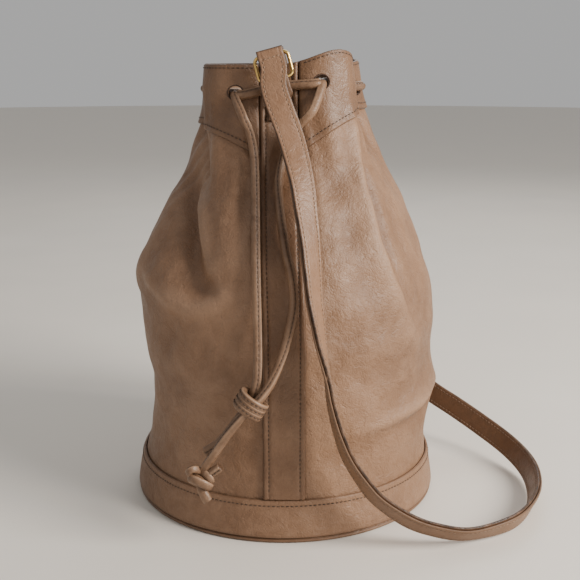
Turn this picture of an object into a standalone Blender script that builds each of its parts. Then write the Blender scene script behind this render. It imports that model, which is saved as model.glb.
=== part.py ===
"""Drawstring bucket bag in leather, built as its separate sewn pieces.

Metres, +Z up. The origin is the centre of the base's underside, the front of
the bag (the side with the drawstring's ends) faces -Y, and the shoulder strap
lies out to +X.
"""
import math

import bmesh
import bpy
import numpy as np
from mathutils import Vector

# ---------------------------------------------------------------- dimensions
LEATHER = 0.0018            # body and yoke leather
LAYER_GAP = 0.0007          # clearance between two sewn layers
OUTER_LAYER = LEATHER + LAYER_GAP
FACING_LEATHER = 0.0014
BUTT_GAP = 0.0005           # between two edges that meet
SEAM_LAP = 0.010            # how far the yoke and the band lap over the body

RIM_HEIGHT = 0.343
RIM_RISE = 0.011            # the mouth's right front lobe stands higher
MOUTH_LEAN = -0.004         # the gathered mouth sits a little to the left
BAND_HEIGHT = 0.032
STRIP_WIDTH = 0.031
BASE_PANEL_RADIUS = 0.1193
BASE_BOARD_RADIUS = 0.1165
PIPING_RADIUS = 0.0015

CORD_DIAMETER = 0.0070
HOLE_DIAMETER = 0.0102
HOLE_BELOW_RIM = 0.020
CORD_BEND = 0.0082          # how far off the wall the cord turns
CORD_STAND_OFF = 0.0080     # its middle's distance from the wall between holes
HOLE_ANGLES = (31, 72, 99, 149, -149, -102, -75, -31)   # degrees from the front

STRAP_WIDTH = 0.019
STRAP_OUTER = 0.0021
STRAP_LINING = 0.0018
STRAP_PLY_GAP = 0.0004

WIRE_RADIUS = 0.0013        # the strap rings' brass wire
RING_BARS = 0.0172          # between the ring's upper and lower bar
RING_HALF_WIDTH = 0.0123
RING_CORNER = 0.0036
RING_TILT = math.radians(15)
RING_PIVOT = (-0.0055, 0.0640, 0.3335)   # x, distance in front or behind, z
RING_CLEARANCE = 0.00035
TAB_WIDTH = 0.0165
TAB_LEATHER = 0.0013
TAB_FOOT = 0.302            # height of the tab's lower end

# Outer face of the leather: height, then the radius to the front, right,
# back and left. The bag is slack: it draws in over the band and bellies out.
BODY_PROFILE = np.array([
    (0.000, 0.1218, 0.1218, 0.1218, 0.1218),
    (0.012, 0.1204, 0.1204, 0.1204, 0.1204),
    (0.022, 0.1186, 0.1188, 0.1186, 0.1185),
    (0.033, 0.1168, 0.1172, 0.1168, 0.1160),
    (0.050, 0.1160, 0.1160, 0.1155, 0.1115),
    (0.070, 0.1166, 0.1195, 0.1165, 0.1085),
    (0.092, 0.1180, 0.1235, 0.1180, 0.1085),
    (0.115, 0.1188, 0.1195, 0.1195, 0.1120),
    (0.150, 0.1190, 0.1205, 0.1200, 0.1155),
    (0.175, 0.1172, 0.1175, 0.1180, 0.1175),
    (0.190, 0.1140, 0.1140, 0.1150, 0.1160),
    (0.216, 0.1060, 0.1065, 0.1070, 0.1030),
    (0.242, 0.0945, 0.0975, 0.0950, 0.0890),
    (0.264, 0.0835, 0.0885, 0.0840, 0.0770),
    (0.293, 0.0715, 0.0780, 0.0720, 0.0715),
    (0.320, 0.0645, 0.0710, 0.0650, 0.0700),
    (0.345, 0.0605, 0.0680, 0.0620, 0.0680),
    (0.362, 0.0590, 0.0670, 0.0610, 0.0670),
])

# Folds that the drawn cord makes: height, direction in degrees from the
# front, half width in degrees, depth.
FRONT_FOLD = np.array([
    (0.030, 0, 24, 0.0000), (0.120, 0, 24, 0.0012), (0.180, 0, 24, 0.0050),
    (0.220, 0, 25, 0.0100), (0.260, 0, 26, 0.0150), (0.300, 0, 26, 0.0175),
    (0.362, 0, 26, 0.0180),
])
LEFT_FOLD = np.array([
    (0.140, -31, 12, 0.0000), (0.170, -31, 12, 0.0035), (0.190, -36, 13, 0.0090),
    (0.220, -46, 14, 0.0145), (0.250, -58, 16, 0.0190), (0.280, -72, 18, 0.0225),
    (0.310, -84, 20, 0.0250), (0.362, -88, 20, 0.0260),
])
RIGHT_FOLD = np.array([
    (0.170, 72, 22, 0.0000), (0.220, 73, 22, 0.0030), (0.260, 76, 21, 0.0075),
    (0.290, 79, 20, 0.0140), (0.320, 82, 20, 0.0210), (0.362, 84, 20, 0.0250),
])
BACK_FOLD = np.array([
    (0.030, 180, 26, 0.0000), (0.120, 180, 26, 0.0010), (0.180, 180, 26, 0.0045),
    (0.220, 180, 26, 0.0095), (0.260, 180, 26, 0.0145), (0.300, 180, 26, 0.0170),
    (0.362, 180, 26, 0.0180),
])
FOLDS = (FRONT_FOLD, LEFT_FOLD, RIGHT_FOLD, BACK_FOLD)

# Strap centre line and the direction from its left edge to its right edge,
# from the front ring down to the floor, round the loop and up the back.
STRAP_ROUTE = [
    ((-0.0070, -0.0718, 0.3256), (0.96, -0.03, 0.26)),
    ((0.0045, -0.0800, 0.2935), (0.96, 0.18, 0.22)),
    ((0.0118, -0.0969, 0.2658), (0.91, 0.40, -0.05)),
    ((0.0147, -0.1086, 0.2458), (0.83, 0.54, -0.17)),
    ((0.0173, -0.1175, 0.2264), (0.72, 0.67, -0.19)),
    ((0.0189, -0.1245, 0.2068), (0.61, 0.77, -0.18)),
    ((0.0205, -0.1296, 0.1863), (0.50, 0.86, -0.12)),
    ((0.0230, -0.1320, 0.1705), (0.38, 0.93, -0.06)),
    ((0.0251, -0.1332, 0.1570), (0.26, 0.96, -0.02)),
    ((0.0298, -0.1347, 0.1325), (-0.01, 1.00, -0.06)),
    ((0.0321, -0.1354, 0.1165), (-0.12, 0.99, -0.06)),
    ((0.0352, -0.1360, 0.1019), (-0.21, 0.98, -0.07)),
    ((0.0396, -0.1360, 0.0869), (-0.29, 0.95, -0.10)),
    ((0.0455, -0.1360, 0.0718), (-0.38, 0.91, -0.18)),
    ((0.0548, -0.1356, 0.0563), (-0.43, 0.86, -0.26)),
    ((0.0670, -0.1347, 0.0404), (-0.46, 0.79, -0.41)),
    ((0.0884, -0.1327, 0.0238), (-0.36, 0.70, -0.62)),
    ((0.1080, -0.1316, 0.0155), (-0.32, 0.67, -0.67)),
    ((0.1322, -0.1289, 0.0104), (-0.28, 0.64, -0.72)),
    ((0.1594, -0.1180, 0.0104), (-0.24, 0.52, -0.82)),
    ((0.1790, -0.1010, 0.0106), (-0.28, 0.36, -0.89)),
    ((0.1960, -0.0700, 0.0108), (-0.36, 0.18, -0.91)),
    ((0.2040, -0.0350, 0.0110), (-0.42, 0.02, -0.90)),
    ((0.2036, -0.0050, 0.0128), (-0.42, -0.04, -0.90)),
    ((0.1940, 0.0220, 0.0180), (-0.40, -0.08, -0.91)),
    ((0.1755, 0.0450, 0.0270), (-0.36, -0.10, -0.92)),
    ((0.1545, 0.0645, 0.0372), (-0.30, -0.12, -0.94)),
    ((0.1350, 0.0800, 0.0465), (-0.32, -0.12, -0.92)),
    ((0.1127, 0.1013, 0.0596), (-0.67, -0.14, -0.72)),
    ((0.0862, 0.1240, 0.0841), (-0.72, -0.62, -0.32)),
    ((0.0565, 0.1379, 0.1244), (-0.16, -0.99, 0.05)),
    ((0.0306, 0.1379, 0.1703), (0.59, -0.79, 0.18)),
    ((0.0127, 0.1240, 0.2206), (0.95, -0.26, 0.18)),
    ((0.0030, 0.1000, 0.2700), (0.98, 0.02, 0.24)),
    ((-0.0050, 0.0752, 0.3220), (0.96, 0.02, 0.26)),
]
STRAP_STATIONS = 56

# Drawstring ends, from the eyelet holes down through the sliding knot.
KNOT_CENTRE = (-0.0235, -0.1340, 0.1123)
KNOT_AXIS = (-0.51, 0.0, -0.86)
LEFT_STRAND = [
    (-0.0372, -0.0605, 0.3148), (-0.0352, -0.0655, 0.3140), (-0.0300, -0.0682, 0.3072),
    (-0.0250, -0.0680, 0.2960), (-0.0220, -0.0702, 0.2805), (-0.0210, -0.0788, 0.2620),
    (-0.0205, -0.0912, 0.2390), (-0.0200, -0.1046, 0.2140), (-0.0195, -0.1132, 0.1950),
    (-0.0190, -0.1198, 0.1750), (-0.0186, -0.1248, 0.1550), (-0.0186, -0.1285, 0.1400),
    (-0.0192, -0.1308, 0.1300), (-0.0207, -0.1316, 0.1229), (-0.0244, -0.1304, 0.1128),
    (-0.0301, -0.1302, 0.1040), (-0.0363, -0.1299, 0.0950), (-0.0458, -0.1290, 0.0829),
    (-0.0562, -0.1280, 0.0748),
]
RIGHT_STRAND = [
    (0.0302, -0.0605, 0.3185), (0.0280, -0.0655, 0.3174), (0.0205, -0.0682, 0.3115),
    (0.0100, -0.0675, 0.3000), (0.0020, -0.0672, 0.2850), (-0.0040, -0.0768, 0.2640),
    (-0.0030, -0.0902, 0.2420), (0.0006, -0.1038, 0.2180), (0.0052, -0.1128, 0.1990),
    (0.0068, -0.1192, 0.1820), (0.0042, -0.1244, 0.1660), (-0.0010, -0.1300, 0.1480),
    (-0.0080, -0.1345, 0.1310), (-0.0152, -0.1366, 0.1198), (-0.0226, -0.1378, 0.1118),
    (-0.0301, -0.1380, 0.1040), (-0.0380, -0.1378, 0.0941), (-0.0443, -0.1370, 0.0846),
    (-0.0505, -0.1355, 0.0745), (-0.0545, -0.1338, 0.0680),
]
END_KNOT_CENTRE = (-0.0598, -0.1320, 0.0545)
END_KNOT_RADII = (0.0112, 0.0088, 0.0108)

# ---------------------------------------------------------------- materials
LEATHER_TAN = (0.36, 0.235, 0.15)
LEATHER_DARK = (0.30, 0.19, 0.12)
LEATHER_INNER = (0.085, 0.035, 0.016)
BOARD_GREY = (0.33, 0.29, 0.24)
BRASS = (0.83, 0.62, 0.25)

bag = None                   # collections, made by main()
cutters = None


# ------------------------------------------------------------ bag's surface
def smooth(table, column, heights):
    """Value of one column of a table at the heights, on a smooth curve."""
    knots = table[:, 0]
    values = table[:, column]
    slopes = np.gradient(values, knots)
    heights = np.clip(heights, knots[0], knots[-1])
    i = np.clip(np.searchsorted(knots, heights, side="right") - 1, 0, len(knots) - 2)
    step = knots[i + 1] - knots[i]
    t = (heights - knots[i]) / step
    return ((2 * t**3 - 3 * t**2 + 1) * values[i] + (t**3 - 2 * t**2 + t) * step * slopes[i]
            + (3 * t**2 - 2 * t**3) * values[i + 1] + (t**3 - t**2) * step * slopes[i + 1])


def bag_radius(angle, height):
    """Radius of the leather's outer face; angle in radians from -Y toward +X."""
    across, along = np.sin(angle), np.cos(angle)
    near = np.where(along > 0, smooth(BODY_PROFILE, 1, height), smooth(BODY_PROFILE, 3, height))
    side = np.where(across > 0, smooth(BODY_PROFILE, 2, height), smooth(BODY_PROFILE, 4, height))
    radius = near * along**2 + side * across**2
    for fold in FOLDS:
        turn = np.degrees(angle) - smooth(fold, 1, height)
        turn = (turn + 180) % 360 - 180
        radius = radius - smooth(fold, 3, height) * np.exp(-(turn / smooth(fold, 2, height))**2)
    return radius


def bag_point(angle, height):
    """Points on the leather's outer face, one row for each angle and height."""
    radius = bag_radius(angle, height)
    lean = MOUTH_LEAN * np.clip((height - 0.15) / 0.17, 0, 1)
    return np.stack([lean + radius * np.sin(angle), -radius * np.cos(angle),
                     height + 0 * angle], axis=-1)


def bag_normal(angle, height, step=1e-3):
    """Outward direction of the leather's face."""
    around = bag_point(angle + step, height) - bag_point(angle - step, height)
    up = bag_point(angle, height + step) - bag_point(angle, height - step)
    normal = np.cross(around, up)
    return normal / np.linalg.norm(normal, axis=-1, keepdims=True)


def rim_height(angle):
    turn = np.degrees(angle)
    rise = RIM_RISE * np.exp(-((turn - 44) / 22)**2)
    return RIM_HEIGHT + rise + 0.004 * np.exp(-((turn - 125) / 25)**2)


def yoke_seam(angle):
    """Height of the yoke's lower edge: it dips toward the front and back strips."""
    turn = np.degrees(angle)
    dip = np.exp(-(turn / 33)**2) + np.exp(-((np.abs(turn) - 180) / 33)**2)
    return 0.302 + 0.006 * np.sin(angle) - 0.027 * dip


def hole_height(angle):
    return rim_height(angle) - HOLE_BELOW_RIM


BODY_ROWS = (0.012, 0.022, 0.033, 0.050, 0.070, 0.092, 0.115, 0.140, 0.165,
             0.190, 0.215, 0.240, 0.265, 0.290)


def body_row(nominal):
    """A row of the body's grid: level low down, parallel to the yoke's seam above."""
    follow = min(max((nominal - 0.18) / 0.11, 0), 1)
    return lambda angle: nominal + follow * (yoke_seam(angle) - 0.290)


def yoke_row(fraction):
    """A row between the yoke's seam (0) and the rim (1)."""
    return lambda angle: yoke_seam(angle) + fraction * (rim_height(angle) - yoke_seam(angle))


def lapped_row(angle):
    return yoke_seam(angle) + SEAM_LAP


def measured_angles(height_of, side, distances):
    """Angles that lie at the given distances along a row, measured round the
    leather from the front's middle (negative distances: from the back's)."""
    angle = side * np.linspace(0, math.pi, 721)
    points = bag_point(angle, height_of(angle))
    walked = np.concatenate([[0], np.cumsum(np.linalg.norm(np.diff(points, axis=0), axis=1))])
    wanted = np.array([d if d >= 0 else walked[-1] + d for d in distances])
    return np.interp(wanted, walked, angle), walked[-1]


def half_columns(height_of, side, margins, panels):
    """Angles of one half's grid columns: the margins at each strip and equal
    steps of leather between them."""
    _, length = measured_angles(height_of, side, [0])
    inner, outer = margins[-1], length - margins[-1]
    between = np.linspace(inner, outer, panels + 1)[1:-1]
    distances = list(margins) + list(between) + [length - m for m in reversed(margins)]
    return measured_angles(height_of, side, distances)[0]


def on_bag(angles, heights, offset):
    return bag_point(angles, heights) + bag_normal(angles, heights) * offset


# ------------------------------------------------------------- mesh helpers
def material(name, colour, roughness, metallic=0.0):
    made = bpy.data.materials.new(name)
    made.use_nodes = True
    shader = made.node_tree.nodes["Principled BSDF"]
    shader.inputs["Base Color"].default_value = (*colour, 1)
    shader.inputs["Roughness"].default_value = roughness
    shader.inputs["Metallic"].default_value = metallic
    return made


def add_object(name, mesh, look):
    made = bpy.data.objects.new(name, mesh)
    mesh.materials.append(material(name + "_finish", *look))
    bag.objects.link(made)
    return made


def grid_object(name, rows, look, closed=False):
    """An open surface through rows of points; closed joins each row's ends."""
    rows = [np.asarray(row) for row in rows]
    columns = len(rows[0])
    vertices = [tuple(point) for row in rows for point in row]
    faces = []
    for r in range(len(rows) - 1):
        for c in range(columns if closed else columns - 1):
            following = (c + 1) % columns
            faces.append((r * columns + c, r * columns + following,
                          (r + 1) * columns + following, (r + 1) * columns + c))
    mesh = bpy.data.meshes.new(name)
    mesh.from_pydata(vertices, [], faces)
    mesh.shade_smooth()
    mesh.set_sharp_from_angle(angle=math.radians(40))
    return add_object(name, mesh, look)


def add_thickness(target, thickness, offset=-1):
    shell = target.modifiers.new("Thickness", "SOLIDIFY")
    shell.thickness = thickness
    shell.offset = offset
    return target


def smooth_path(points, samples, closed=False):
    """Evenly spaced points on a smooth curve through the given points."""
    points = np.array(points, dtype=float)
    if closed:
        points = np.vstack([points[-1], points, points[:2]])
    else:
        points = np.vstack([2 * points[0] - points[1], points, 2 * points[-1] - points[-2]])
    fine = []
    t = np.linspace(0, 1, 24, endpoint=False)[:, None]
    for i in range(1, len(points) - 2):
        before, start, end, after = points[i - 1:i + 3]
        fine.append(0.5 * (2 * start + (end - before) * t
                           + (2 * before - 5 * start + 4 * end - after) * t**2
                           + (3 * start - before - 3 * end + after) * t**3))
    fine = np.vstack(fine + [points[-2][None]])
    walked = np.concatenate([[0], np.cumsum(np.linalg.norm(np.diff(fine[:, :3], axis=0), axis=1))])
    wanted = np.linspace(0, walked[-1], samples + (1 if closed else 0))
    if closed:
        wanted = wanted[:-1]
    return np.stack([np.interp(wanted, walked, fine[:, k]) for k in range(points.shape[1])], axis=1)


def tube(name, points, radius, look, closed=False):
    """A round cord or wire along the points."""
    curve = bpy.data.curves.new(name, "CURVE")
    curve.dimensions = "3D"
    curve.bevel_depth = radius
    curve.bevel_resolution = 2
    curve.use_fill_caps = not closed
    line = curve.splines.new("POLY")
    line.points.add(len(points) - 1)
    for place, point in zip(line.points, points):
        place.co = (*point, 1)
    line.use_cyclic_u = closed
    made = bpy.data.objects.new(name, curve)
    curve.materials.append(material(name + "_finish", *look))
    bag.objects.link(made)
    return made


def cylinder_cutter(name, centre, direction, diameter, length):
    mesh = bpy.data.meshes.new(name)
    shape = bmesh.new()
    bmesh.ops.create_cone(shape, cap_ends=True, segments=14, radius1=diameter / 2,
                          radius2=diameter / 2, depth=length)
    shape.to_mesh(mesh)
    shape.free()
    cutter = bpy.data.objects.new(name, mesh)
    cutter.location = centre
    cutter.rotation_euler = Vector(direction).to_track_quat("Z", "Y").to_euler()
    cutter.hide_render = True
    cutter.display_type = "WIRE"
    cutters.objects.link(cutter)
    return cutter


def cut(target, cutter):
    subtract = target.modifiers.new(cutter.name, "BOOLEAN")
    subtract.operation = "DIFFERENCE"
    subtract.object = cutter


# ------------------------------------------------------------------ leather
PANEL_MARGINS = (BUTT_GAP / 2, STRIP_WIDTH / 4, STRIP_WIDTH / 2 + BUTT_GAP)
PANEL_STEPS = 20


def half_rows(row_heights, side, margins, offset):
    rows = []
    for height_of in row_heights:
        angles = half_columns(height_of, side, margins, PANEL_STEPS)
        rows.append(on_bag(angles, height_of(angles), offset))
    return rows if side > 0 else [row[::-1] for row in rows]


def body_panels():
    heights = [body_row(nominal) for nominal in BODY_ROWS] + [lapped_row]
    for name, side in (("body_panel_left", -1), ("body_panel_right", 1)):
        rows = half_rows(heights, side, PANEL_MARGINS, 0)
        add_thickness(grid_object(name, rows, (LEATHER_TAN, 0.55)), LEATHER)


YOKE_FRACTIONS = (0.42, 0.60, 0.80, 1.0)


def yokes():
    heights = [yoke_row(0), lapped_row] + [yoke_row(f) for f in YOKE_FRACTIONS]
    for name, side in (("yoke_left", -1), ("yoke_right", 1)):
        rows = half_rows(heights, side, PANEL_MARGINS[-1:], LAYER_GAP)
        yoke = add_thickness(grid_object(name, rows, (LEATHER_DARK, 0.5)), LEATHER, offset=1)
        for index, (angle, direction, centre) in enumerate(cord_holes()):
            if angle * side > 0:
                cut(yoke, hole_cutter(name, index, centre, direction))


def ring_rows(row_heights, offset, strip_columns):
    """Rows that run right round the bag."""
    rows = []
    for height_of in row_heights:
        right = half_columns(height_of, 1, strip_columns, PANEL_STEPS)
        left = half_columns(height_of, -1, strip_columns, PANEL_STEPS)
        angles = np.concatenate([[0], right, [math.pi], left[::-1]])
        rows.append(on_bag(angles, height_of(angles), offset))
    return rows


def rim_facing():
    def foot(angle):
        return lapped_row(angle) + BUTT_GAP
    heights = [foot] + [yoke_row(f) for f in YOKE_FRACTIONS]
    rows = ring_rows(heights, 0, PANEL_MARGINS[1:])
    facing = grid_object("rim_facing", rows, (LEATHER_INNER, 0.7), closed=True)
    add_thickness(facing, FACING_LEATHER)
    for index, (_, direction, centre) in enumerate(cord_holes()):
        cut(facing, hole_cutter("facing", index, centre, direction))


def base_band():
    heights = [lambda a, h=h: h + 0 * a for h in (0.0035, 0.012, 0.022, BAND_HEIGHT)]
    rows = ring_rows(heights, LAYER_GAP, PANEL_MARGINS[1:])
    band = grid_object("base_band", rows, (LEATHER_TAN, 0.5), closed=True)
    add_thickness(band, LEATHER, offset=1)


def strips():
    """The strips over the front and back seams, from under the band to the rim."""
    across = np.array([-STRIP_WIDTH / 2, -STRIP_WIDTH / 4, 0, STRIP_WIDTH / 4, STRIP_WIDTH / 2])
    heights = ([body_row(nominal) for nominal in BODY_ROWS[3:]] + [lapped_row]
               + [yoke_row(f) for f in YOKE_FRACTIONS])
    heights.insert(0, lambda angle: BAND_HEIGHT + BUTT_GAP + 0 * angle)
    for name, back in (("front_strip", False), ("back_strip", True)):
        rows = []
        for height_of in heights:
            angles = []
            for distance in across:
                reach = -abs(distance) if back else abs(distance)
                side = -1 if (distance < 0) != back else 1
                if reach == 0:
                    angles.append(math.pi if back else 0.0)
                else:
                    angles.append(measured_angles(height_of, side, [reach])[0][0])
            angles = np.array(angles)
            rows.append(on_bag(angles, height_of(angles), LAYER_GAP))
        add_thickness(grid_object(name, rows, (LEATHER_DARK, 0.5)), LEATHER, offset=1)


def disc(name, radius, bottom, thickness, look, segments=56):
    mesh = bpy.data.meshes.new(name)
    shape = bmesh.new()
    bmesh.ops.create_cone(shape, cap_ends=True, segments=segments, radius1=radius,
                          radius2=radius, depth=thickness)
    bmesh.ops.translate(shape, verts=shape.verts, vec=(0, 0, bottom + thickness / 2))
    shape.to_mesh(mesh)
    shape.free()
    return add_object(name, mesh, look)


def base_pieces():
    disc("base_panel", BASE_PANEL_RADIUS, 0.0, 0.0022, (LEATHER_TAN, 0.6))
    disc("base_stiffener", BASE_BOARD_RADIUS, 0.0026, 0.0020, (BOARD_GREY, 0.9))
    turn = np.linspace(0, 2 * math.pi, 56, endpoint=False)
    middle = BASE_PANEL_RADIUS + PIPING_RADIUS + 2 * BUTT_GAP
    around = [(middle * math.cos(a), middle * math.sin(a), PIPING_RADIUS + 0.0001) for a in turn]
    tube("base_piping", around, PIPING_RADIUS, (LEATHER_TAN, 0.5), closed=True)


# --------------------------------------------------------------- drawstring
def cord_holes():
    """Angle in degrees, the cord's direction through the wall and the hole's
    centre. The cord runs outside across the front, the sides and the back,
    and inside behind the four lobes."""
    holes = []
    for number, degrees in enumerate(HOLE_ANGLES):
        angle = np.array([math.radians(degrees)])
        height = hole_height(angle)
        centre = on_bag(angle, height, OUTER_LAYER / 2 - FACING_LEATHER / 2)[0]
        normal = bag_normal(angle, height)[0]
        onward = np.cross([0, 0, 1], normal)
        inward = 1 if number % 2 == 0 else -1
        direction = -inward * normal * 0.94 + onward * 0.34
        holes.append((degrees, direction / np.linalg.norm(direction), centre))
    return holes


def hole_cutter(owner, index, centre, direction):
    return cylinder_cutter(f"{owner}_hole_{index}", centre, direction, HOLE_DIAMETER, 0.016)


def drawstring_loop():
    """The cord's run round the mouth, through all eight holes."""
    route = []
    holes = cord_holes()
    for index, (degrees, direction, centre) in enumerate(holes):
        route += [centre - direction * CORD_BEND, centre, centre + direction * CORD_BEND]
        following = holes[(index + 1) % len(holes)][0]
        middle = math.radians((degrees + (following - degrees) % 360 / 2 + 180) % 360 - 180)
        outside = index % 2 == 1
        offset = CORD_STAND_OFF if outside else -CORD_BEND
        angle = np.array([middle])
        height = hole_height(angle)
        if abs(middle) < 0.1:
            height = height + 0.0025
        route.append(on_bag(angle, height, offset)[0])
    tube("drawstring_loop", smooth_path(route, 80, closed=True), CORD_DIAMETER / 2,
         (LEATHER_TAN, 0.5), closed=True)


def strands():
    for name, route, samples in (("drawstring_left", LEFT_STRAND, 30),
                                 ("drawstring_right", RIGHT_STRAND, 32)):
        tube(name, smooth_path(route, samples), CORD_DIAMETER / 2, (LEATHER_TAN, 0.5))


def slider_knot():
    """Three wraps round both strands, as one barrel with a bore."""
    bore, crest, valley, half = 0.0079, 0.0132, 0.0118, 0.0100
    outline = [(bore, half - 0.001), (bore + 0.001, half)]
    for wrap in range(3):
        middle = half * (2 - 2 * wrap) / 3
        outline += [(valley, middle + half * 0.28), (crest, middle), (valley, middle - half * 0.28)]
    outline += [(bore + 0.001, -half), (bore, -half + 0.001)]
    mesh = bpy.data.meshes.new("slider_knot")
    shape = bmesh.new()
    profile = [shape.verts.new((r, 0, z)) for r, z in outline]
    for start, end in zip(profile, profile[1:] + profile[:1]):
        shape.edges.new((start, end))
    bmesh.ops.spin(shape, geom=shape.verts[:] + shape.edges[:], cent=(0, 0, 0), axis=(0, 0, 1),
                   angle=2 * math.pi, steps=22, use_merge=True)
    bmesh.ops.remove_doubles(shape, verts=shape.verts, dist=1e-6)
    bmesh.ops.recalc_face_normals(shape, faces=shape.faces)
    shape.to_mesh(mesh)
    shape.free()
    mesh.shade_smooth()
    knot = add_object("slider_knot", mesh, (LEATHER_TAN, 0.5))
    knot.location = KNOT_CENTRE
    knot.rotation_euler = (-Vector(KNOT_AXIS)).to_track_quat("Z", "Y").to_euler()


def end_knot():
    mesh = bpy.data.meshes.new("end_knot")
    shape = bmesh.new()
    bmesh.ops.create_uvsphere(shape, u_segments=16, v_segments=10, radius=1.0)
    bmesh.ops.scale(shape, verts=shape.verts, vec=END_KNOT_RADII)
    shape.to_mesh(mesh)
    shape.free()
    mesh.shade_smooth()
    knot = add_object("end_knot", mesh, (LEATHER_TAN, 0.5))
    knot.location = END_KNOT_CENTRE


# -------------------------------------------------------------------- strap
def ring_frame(side):
    """Upper bar's centre, up along the ring, its width direction and outward."""
    x, reach, z = RING_PIVOT
    up = np.array([-math.sin(RING_TILT), 0, math.cos(RING_TILT)])
    width = np.array([math.cos(RING_TILT), 0, math.sin(RING_TILT)])
    outward = np.array([0.0, side, 0.0])
    lower = np.array([x, side * reach, z])
    return lower + up * RING_BARS, lower, up, width, outward


BAR_BEND = WIRE_RADIUS + RING_CLEARANCE + STRAP_LINING / 2
STRAP_STAND_OFF = BAR_BEND + STRAP_LINING / 2 + STRAP_PLY_GAP / 2


def strap_line():
    """Centre line and frames of the strap: points, width directions, face."""
    front, _, up, width, outward = ring_frame(-1)
    back, _, _, _, backward = ring_frame(1)
    start = front + outward * STRAP_STAND_OFF
    end = back + backward * STRAP_STAND_OFF
    route = [(start, width), (start - up * 0.010 + outward * 0.0016, width)]
    route += [(np.array(point), np.array(wide)) for point, wide in STRAP_ROUTE]
    route += [(end - up * 0.010 + backward * 0.0016, width), (end, width)]
    line = smooth_path([np.concatenate([p, w]) for p, w in route], STRAP_STATIONS)
    points, wide = line[:, :3], line[:, 3:]
    tangent = np.gradient(points, axis=0)
    tangent[0], tangent[-1] = -up, up
    tangent /= np.linalg.norm(tangent, axis=1, keepdims=True)
    wide = wide - tangent * np.sum(wide * tangent, axis=1, keepdims=True)
    wide /= np.linalg.norm(wide, axis=1, keepdims=True)
    return points, wide, np.cross(tangent, wide)


def ribbon(name, centres, widths, width, thickness, look):
    rows = [[c - w * width / 2, c + w * width / 2] for c, w in zip(centres, widths)]
    return add_thickness(grid_object(name, rows, look), thickness, offset=0)


def strap():
    points, wide, face = strap_line()
    up = ring_frame(-1)[2]
    outer_offset = STRAP_PLY_GAP / 2 + STRAP_OUTER / 2
    outer = points + face * outer_offset
    outer = np.vstack([outer[0] + up * 0.0045, outer, outer[-1] + up * 0.0045])
    outer_wide = np.vstack([wide[0], wide, wide[-1]])
    ribbon("strap_outer", outer, outer_wide, STRAP_WIDTH, STRAP_OUTER, (LEATHER_TAN, 0.45))

    lining = points - face * (STRAP_PLY_GAP / 2 + STRAP_LINING / 2)
    lining_wide = wide
    for side in (-1, 1):
        bar, _, up, width, outward = ring_frame(side)
        bend = []
        for turn in np.radians((45, 90, 135, 180)):
            bend.append(bar + outward * BAR_BEND * math.cos(turn) + up * BAR_BEND * math.sin(turn))
        bend.append(bar - outward * BAR_BEND - up * 0.0095)
        bend_wide = [width] * len(bend)
        if side < 0:
            lining = np.vstack([bend[::-1], lining])
            lining_wide = np.vstack([bend_wide, lining_wide])
        else:
            lining = np.vstack([lining, bend])
            lining_wide = np.vstack([lining_wide, bend_wide])
    ribbon("strap_lining", lining, lining_wide, STRAP_WIDTH - 0.0006, STRAP_LINING,
           (LEATHER_DARK, 0.65))


def rings():
    for name, side in (("ring_front", -1), ("ring_back", 1)):
        upper, lower, up, width, _ = ring_frame(side)
        middle = (upper + lower) / 2
        points = []
        for quarter in range(4):
            signs = ((1, 1), (-1, 1), (-1, -1), (1, -1))[quarter]
            for step in range(5):
                turn = math.radians(quarter * 90 + step * 22.5)
                along = signs[0] * (RING_HALF_WIDTH - RING_CORNER) + RING_CORNER * math.cos(turn)
                high = signs[1] * (RING_BARS / 2 - RING_CORNER) + RING_CORNER * math.sin(turn)
                points.append(middle + width * along + up * high)
        tube(name, points, WIRE_RADIUS, (BRASS, 0.25, 1.0), closed=True)


def strap_tabs():
    """A leather loop sewn on each strip, over the cord and round the ring's
    lower bar."""
    bend = WIRE_RADIUS + RING_CLEARANCE + TAB_LEATHER / 2
    for name, side in (("strap_tab_front", -1), ("strap_tab_back", 1)):
        _, bar, up, width, outward = ring_frame(side)
        back_ply = OUTER_LAYER + 2 * LAYER_GAP + TAB_LEATHER / 2
        front_ply = back_ply + TAB_LEATHER + LAYER_GAP
        across = np.linspace(-0.5, 0.5, 5) * TAB_WIDTH
        level = np.array([1.0, 0, 0])

        def on_strip(height, offset):
            row = []
            for reach in across:
                x = bar[0] + reach
                angle = math.atan2(x - MOUTH_LEAN, 0.052)
                angle = np.array([angle if side < 0 else math.pi - angle])
                heights = np.array([height])
                row.append(on_bag(angle, heights, offset)[0])
            return row

        def flat(toward, rise, direction):
            centre = bar + outward * toward + up * rise
            return [centre + direction * reach for reach in across]

        mixed = level + width
        mixed /= np.linalg.norm(mixed)
        rows = [on_strip(TAB_FOOT, back_ply), on_strip(0.305, back_ply), on_strip(0.311, back_ply),
                flat(-bend + 0.0002, -0.0125, mixed), flat(-bend, -0.0070, width)]
        for turn in (180, 135, 90, 45, 0):
            angle = math.radians(turn)
            rows.append(flat(bend * math.cos(angle), bend * math.sin(angle), width))
        rows += [flat(bend, -0.0070, width), flat(bend - 0.0002, -0.0125, mixed),
                 on_strip(0.311, front_ply), on_strip(0.305, front_ply),
                 on_strip(TAB_FOOT, front_ply)]
        add_thickness(grid_object(name, rows, (LEATHER_DARK, 0.55)), TAB_LEATHER, offset=0)


# --------------------------------------------------------------------- main
def main():
    global bag, cutters
    for old in list(bpy.data.objects):
        bpy.data.objects.remove(old, do_unlink=True)
    bag = bpy.data.collections.new("bucket_bag")
    cutters = bpy.data.collections.new("cutters")
    for collection in (bag, cutters):
        bpy.context.scene.collection.children.link(collection)
    base_pieces()
    base_band()
    body_panels()
    yokes()
    rim_facing()
    strips()
    drawstring_loop()
    strands()
    slider_knot()
    end_knot()
    strap()
    rings()
    strap_tabs()


main()
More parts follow.
